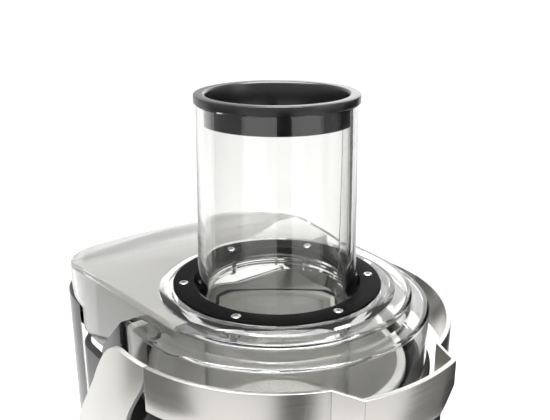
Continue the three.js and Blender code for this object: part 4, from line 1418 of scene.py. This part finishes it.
    def gasket(self) -> None:
        """The flat rubber gasket under the tube's flange."""
        box = Span.of("tube_gasket")
        inner, outer = self.chute + 1, box.high.x
        ring = Bench.turn("tube_gasket_ring", closed([
            (inner, box.low.z), (outer, box.low.z), (outer, box.high.z), (inner, box.high.z),
        ]), sides=128)
        Bench.soften(ring, 0.25, 2)
        self.place(ring, Body.LID, Slot.RUBBER, ["tube_gasket"])


# ------------------------------------------------------------------------------- locking bow


@dataclass
class BowUnit(Assembly):
    """The locking bow: a steel band round the front with a bulge at the spout, and two arms.

    Attributes:
        finishes: The finishes.
        inner: The band's inner radius.
        thickness: Its thickness.
        root: The bulge's half angle at its root, in degrees.
        tip: The bulge's half angle at its crown, in degrees.
        reach: How far the bulge stands out.
        tip_rise: How far the bulge's lower corners sweep up.
        band_end: Where the band ends and the arms begin.
        hinge: The hinge line as Y and Z.
        boss_radius: The round end of an arm.
    """

    finishes: Finishes
    inner: float = 105.5
    thickness: float = 3.0
    root: float = 22.0
    tip: float = 16.0
    reach: float = 14.0
    tip_rise: float = 12.0
    band_end: float = -22.0
    hinge: Point = (70.0, 156.0)
    boss_radius: float = 14.0

    def __post_init__(self) -> None:
        """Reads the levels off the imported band."""
        super().__init__(self.finishes)
        box = Span.of("bow_band")
        self.low, self.top = box.low.z, box.high.z

    def build(self) -> None:
        """Builds and places every piece."""
        self.band()
        self.arms()

    def outline(self, radius: float) -> list[Point]:
        """The bow's outline at one radius."""
        back = self.hinge[0] + 2 * self.boss_radius
        return (
            arc((0, 0), radius, 180, 270 - self.root, 48)
            + arc((0, 0), radius + self.reach, 270 - self.tip, 270 + self.tip, 24)
            + arc((0, 0), radius, 270 + self.root, 360, 48)
            + [(radius, back), (-radius, back)]
        )

    def wall(self, low: float, high: float) -> bpy.types.Object:
        """The bow's sheet between two heights."""
        sheet = Bench.prism("sheet", self.outline(self.inner + self.thickness), low, high)
        room = Bench.prism("room", self.outline(self.inner), low - 1, high + 1)
        open_back = Bench.block(
            "open", (-self.inner, 0, low - 1), (self.inner, self.hinge[0] + 3 * self.boss_radius, high + 1)
        )
        return Bench.combine(sheet, "DIFFERENCE", [room, open_back])

    def band(self) -> None:
        """The brushed band with its bulge and swept corners."""
        band = self.wall(self.low, self.top)
        wide = 2 * self.inner
        behind = Bench.block(
            "behind", (-wide, self.band_end - SEAT, self.low - 9), (wide, wide, self.top + 9)
        )
        tip = math.radians(270 + self.tip)
        tip_x = (self.inner + self.thickness + self.reach) * math.cos(tip)
        tip_y = (self.inner + self.reach) * math.sin(tip)
        sweeps = []
        for side in (-1, 1):
            corner = Bench.prism("corner", [
                (side * (tip_x - 14), self.low - 1), (side * (tip_x + 2), self.low - 1),
                (side * (tip_x + 2), self.low + self.tip_rise), (side * tip_x, self.low + self.tip_rise),
            ], -tip_y - 4, wide)
            corner.rotation_euler = Along.Y.value
            corner.rotation_euler.x *= -1
            Bench.pick(corner)
            sweeps.append(Bench.settle(corner, "corner"))
        Bench.combine(band, "DIFFERENCE", [behind, *sweeps])
        Bench.tidy(band)
        Bench.soften(band, 1.2, 4, 32)
        band.name = "bow_band_sheet"
        self.place(band, Body.BOW, Slot.BRUSHED, ["bow_band"])

    def arm_profile(self) -> list[Point]:
        """An arm's outline seen from the side, as Y and Z."""
        y, z = self.hinge
        fall = self.top - z
        radius = self.boss_radius
        start = (self.band_end, self.top)
        bend = (self.band_end + 24, self.top)
        waist = (y * 0.61, self.top - 0.31 * fall)
        back, front = (y + radius, z), (y - radius, z)
        inner = (0.0, z + 0.62 * fall)
        points = [start, bend]
        points += curve(bend, (y * 0.26, self.top), (y * 0.45, self.top - 0.16 * fall), waist, 14)
        points += curve(waist, (y * 0.82, self.top - 0.5 * fall), (back[0], z + 0.3 * fall), back, 16)
        points += arc(self.hinge, radius, 0, -180, 28)[1:]
        points += curve(front, (front[0], z + 0.2 * fall), (16 + 0.08 * y, z + 0.42 * fall), inner, 16)
        points += curve(
            inner, (-8, z + 0.76 * fall), (self.band_end + 4, self.top - 0.17 * fall),
            (self.band_end, self.top - 0.06 * fall), 12,
        )
        return points

    def arms(self) -> None:
        """The two satin arms down to the hinge."""
        wide = 2 * self.inner
        z = self.hinge[1]
        sheet = self.wall(z - 2 * self.boss_radius, self.top + 1)
        Bench.combine(sheet, "INTERSECT", [Bench.side_prism("profile", self.arm_profile(), 0, wide)])
        pin = rod("pin", 5.3, 0, wide, 32, at=(0, self.hinge[0], z), along=Along.X)
        Bench.combine(sheet, "DIFFERENCE", [pin])
        Bench.tidy(sheet)
        Bench.soften(sheet, 0.9, 4, 32)
        left = Bench.mirrored(sheet, "bow_arm_left_plate")
        sheet.name = "bow_arm_right_plate"
        self.place(sheet, Body.BOW, Slot.SILVER, ["bow_arm_right"])
        self.place(left, Body.BOW, Slot.SILVER, ["bow_arm_left"])


# ------------------------------------------------------------------------------- pulp container


@dataclass
class ContainerUnit(Assembly):
    """The clear pulp container behind the base.

    Attributes:
        finishes: The finishes.
        wall: Its wall thickness.
        shoulder: How far behind its front the round back starts.
        front_cut: How far its mouth is cut down at the front.
        edge: The radius of its edges.
        grip_half: Half the width of the grip on its back.
        grip_reach: How far the grip stands out.
    """

    finishes: Finishes
    wall: float = 2.5
    shoulder: float = 12.0
    front_cut: float = 15.0
    edge: float = 2.0
    grip_half: float = 35.0
    grip_reach: float = 8.0

    def __post_init__(self) -> None:
        """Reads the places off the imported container."""
        super().__init__(self.finishes)
        self.box = Span.of("pulp_container")
        self.half, self.front = self.box.high.x, self.box.low.y
        self.low, self.top = self.box.low.z, self.box.high.z
        self.back = self.box.high.y - self.grip_reach

    def outline(self, inset: float) -> list[Point]:
        """The container's outline."""
        half = self.half - inset
        front = self.front + inset
        rear = round_back(half, self.front + self.shoulder, self.back - inset, 36)
        return [(-half, front), (half, front)] + rear

    def build(self) -> None:
        """Builds and places the container."""
        tub_piece = Bench.prism("pulp_container_clear", self.outline(0), self.low, self.top)
        Bench.soften(tub_piece, self.edge, 4)
        inside = Bench.prism("inside", self.outline(self.wall), self.low + self.wall, self.top + 9)
        Bench.soften(inside, 1.0, 3)
        side = self.half + 1
        mouth_back = self.front + self.shoulder
        mouth = Bench.soften(Bench.block(
            "mouth", (-side, self.front - 1, self.top - self.front_cut), (side, mouth_back, self.top + 9)
        ), 1.0)
        grip = Bench.soften(Bench.block(
            "grip", (-self.grip_half, self.back - 12, self.top - 34),
            (self.grip_half, self.back + self.grip_reach, self.top - 28),
        ), 2.2)
        Bench.combine(tub_piece, "UNION", [grip])
        Bench.combine(tub_piece, "DIFFERENCE", [inside, mouth])
        Bench.tidy(tub_piece)
        Bench.smooth(tub_piece)
        self.place(tub_piece, Body.CONTAINER, Slot.CLEAR, ["pulp_container"])


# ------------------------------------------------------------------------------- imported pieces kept


class KeptPieces(Assembly):
    """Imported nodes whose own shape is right, dressed in better finishes."""

    LOOKS = {
        Slot.MATTE: (
            "base_plate", "brush_holder_left", "brush_holder_right", "rotary_switch", "interlock_switch",
            "drive_coupling", "cooling_fan",
        ),
        Slot.STEEL: (
            "base_screw_1", "base_screw_2", "base_screw_3", "base_screw_4", "motor_stator",
            "upper_bearing_bracket", "lower_bearing_bracket", "upper_bearing", "lower_bearing",
            "bow_pin_left", "bow_pin_right", "motor_shaft", "armature",
        ),
        Slot.COPPER: ("field_winding_upper", "field_winding_lower", "commutator"),
        Slot.BOARD: ("control_board",),
        Slot.RUBBER: ("shaft_seal",),
    }

    def build(self, nodes: dict[str, bpy.types.Object]) -> None:
        """Dresses every kept node.

        Args:
            nodes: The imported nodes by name.
        """
        for slot, names in self.LOOKS.items():
            for name in names:
                self.finishes.dress(nodes[name], USUAL[slot])
                self.count += 1


# ------------------------------------------------------------------------------- studio


@dataclass(frozen=True)
class Lamp:
    """One soft box.

    Attributes:
        name: Its name.
        place: Where it stands, in metres.
        aim: What it is turned to, in metres.
        size: Its width and height in metres.
        power: Its power in watts.
    """

    name: str
    place: tuple[float, float, float]
    aim: tuple[float, float, float]
    size: tuple[float, float]
    power: float


@dataclass(frozen=True)
class Card:
    """One upright board that the glossy surfaces mirror; the camera doesn't see it.

    Attributes:
        name: Its name.
        place: The middle of its foot on the floor, in metres.
        size: Its width and height in metres.
        code: Its colour as sRGB hex.
    """

    name: str
    place: tuple[float, float]
    size: tuple[float, float]
    code: str


@dataclass
class Studio:
    """A white sweep, soft boxes, mirror cards and the camera.

    Attributes:
        eye: The camera's place in metres.
        heading: The level direction it looks in.
        dip: How far it looks down, in degrees.
        lens: Its focal length in millimetres on a 36 mm sensor.
        shift: Its sideways shift as a share of the picture's width.
        bounces: How many times light may bounce or pass a surface.
        lamps: The soft boxes.
        cards: The mirror cards.
        surround_strength: How bright the surround is.
        floor_size: The floor's width in metres.
    """

    eye: tuple[float, float, float] = (-0.2608, -0.3766, 0.4770)
    heading: tuple[float, float] = (0.599, 0.8007)
    dip: float = 18.09
    lens: float = 49.0
    shift: float = -0.0036
    bounces: int = 28
    lamps: tuple[Lamp, ...] = (
        Lamp("top_box", (0.0, -0.03, 0.95), (0.0, -0.028, 0.2), (0.6, 0.6), 15.0),
        Lamp("rear_box", (1.8, 1.4, 1.15), (0.0, 0.0, 0.28), (1.4, 1.3), 8.0),
        Lamp("left_key", (-1.6, -0.4, 1.6), (0.0, 0.0, 0.2), (1.2, 1.2), 7.0),
        Lamp("front_fill", (0.9, -1.7, 1.1), (0.0, 0.0, 0.2), (1.0, 1.0), 4.0),
    )
    cards: tuple[Card, ...] = (
        Card("left_card", (-0.38, 0.12), (0.4, 0.42), "#6C6C6C"),
        Card("front_card", (-0.17, -0.36), (0.13, 0.42), "#0C0C0C"),
        Card("middle_card", (0.24, -0.3), (0.2, 0.4), "#747474"),
        Card("right_card", (0.36, -0.1), (0.3, 0.42), "#0C0C0C"),
    )
    surround_strength: float = 0.85
    floor_size: float = 60.0

    def build(self) -> None:
        """Builds the floor, the light and the camera."""
        scene = bpy.context.scene
        scene.view_settings.view_transform = "Standard"
        # Light has to get through the lid, the chute and back out again.
        scene.cycles.max_bounces = self.bounces
        scene.cycles.transmission_bounces = self.bounces
        scene.cycles.diffuse_bounces = self.bounces // 4
        self.floor()
        self.surround()
        for lamp in self.lamps:
            self.lamp(lamp)
        for card in self.cards:
            self.card(card)
        self.camera()

    def floor(self) -> None:
        """A wide, plain pale floor."""
        Bench.clear_selection()
        bpy.ops.mesh.primitive_plane_add(size=self.floor_size, location=(0, 0, 0))
        floor = bpy.context.object
        floor.name = "floor"
        material = Finish(
            "painted_sweep", "#B4B4B3", 0.75, Grain((4.0, 4.0, 4.0), 0.05, 0.0, 0.0), glow=0.6
        ).build()
        floor.data.materials.append(material)

    def surround(self) -> None:
        """An even white surround."""
        world = bpy.data.worlds.new("white_surround")
        world.use_nodes = True
        background = world.node_tree.nodes["Background"]
        background.inputs["Color"].default_value = (1.0, 1.0, 1.0, 1.0)
        background.inputs["Strength"].default_value = self.surround_strength
        bpy.context.scene.world = world

    def lamp(self, lamp: Lamp) -> None:
        """Hangs one soft box."""
        data = bpy.data.lights.new(lamp.name, "AREA")
        data.shape = "RECTANGLE"
        data.size, data.size_y = lamp.size
        data.energy = lamp.power
        obj = bpy.data.objects.new(lamp.name, data)
        bpy.context.scene.collection.objects.link(obj)
        obj.location = lamp.place
        obj.rotation_euler = (Vector(lamp.aim) - Vector(lamp.place)).to_track_quat("-Z", "Y").to_euler()
        obj.visible_camera = False

    def card(self, card: Card) -> None:
        """Stands one card up, turned to the juicer."""
        Bench.clear_selection()
        width, height = card.size
        x, y = card.place
        bpy.ops.mesh.primitive_plane_add(size=1.0, location=(x, y, height / 2))
        board = bpy.context.object
        board.name = card.name
        board.scale = (width, height, 1.0)
        board.rotation_euler = (math.pi / 2, 0.0, math.atan2(-y, -x) + math.pi / 2)
        board.data.materials.append(Finish(f"{card.name}_board", card.code, 0.8).build())
        board.visible_camera = False
        board.visible_shadow = False

    def camera(self) -> None:
        """Sets the camera at the product's usual three-quarter angle from above."""
        data = bpy.data.cameras.new("camera")
        data.sensor_width = 36.0
        data.lens = self.lens
        data.shift_x = self.shift
        data.clip_start, data.clip_end = 0.01, 100.0
        obj = bpy.data.objects.new("camera", data)
        bpy.context.scene.collection.objects.link(obj)
        obj.location = self.eye
        level = Vector((*self.heading, 0)).normalized()
        dip = math.radians(self.dip)
        look = level * math.cos(dip) - Vector((0, 0, math.sin(dip)))
        obj.rotation_euler = look.to_track_quat("-Z", "Y").to_euler()
        bpy.context.scene.camera = obj


# ------------------------------------------------------------------------------- the juicer


def write_sizes() -> None:
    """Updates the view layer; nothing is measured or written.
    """
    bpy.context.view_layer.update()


def main() -> None:
    """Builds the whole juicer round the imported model."""
    logging.basicConfig(level=logging.INFO, format="%(name)s %(message)s")
    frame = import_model()
    finishes = Finishes()
    kept = KeptPieces(finishes)
    kept.build(frame["nodes"])
    units = [
        BaseUnit(finishes), DialUnit(finishes), BowlUnit(finishes), BasketUnit(finishes),
        LidUnit(finishes), TubeUnit(finishes), BowUnit(finishes), ContainerUnit(finishes),
    ]
    for unit in units:
        unit.build()
        LOG.info("%s: %d pieces", type(unit).__name__, unit.count)
    Studio().build()
    write_sizes()


if __name__ == "__main__":
    main()
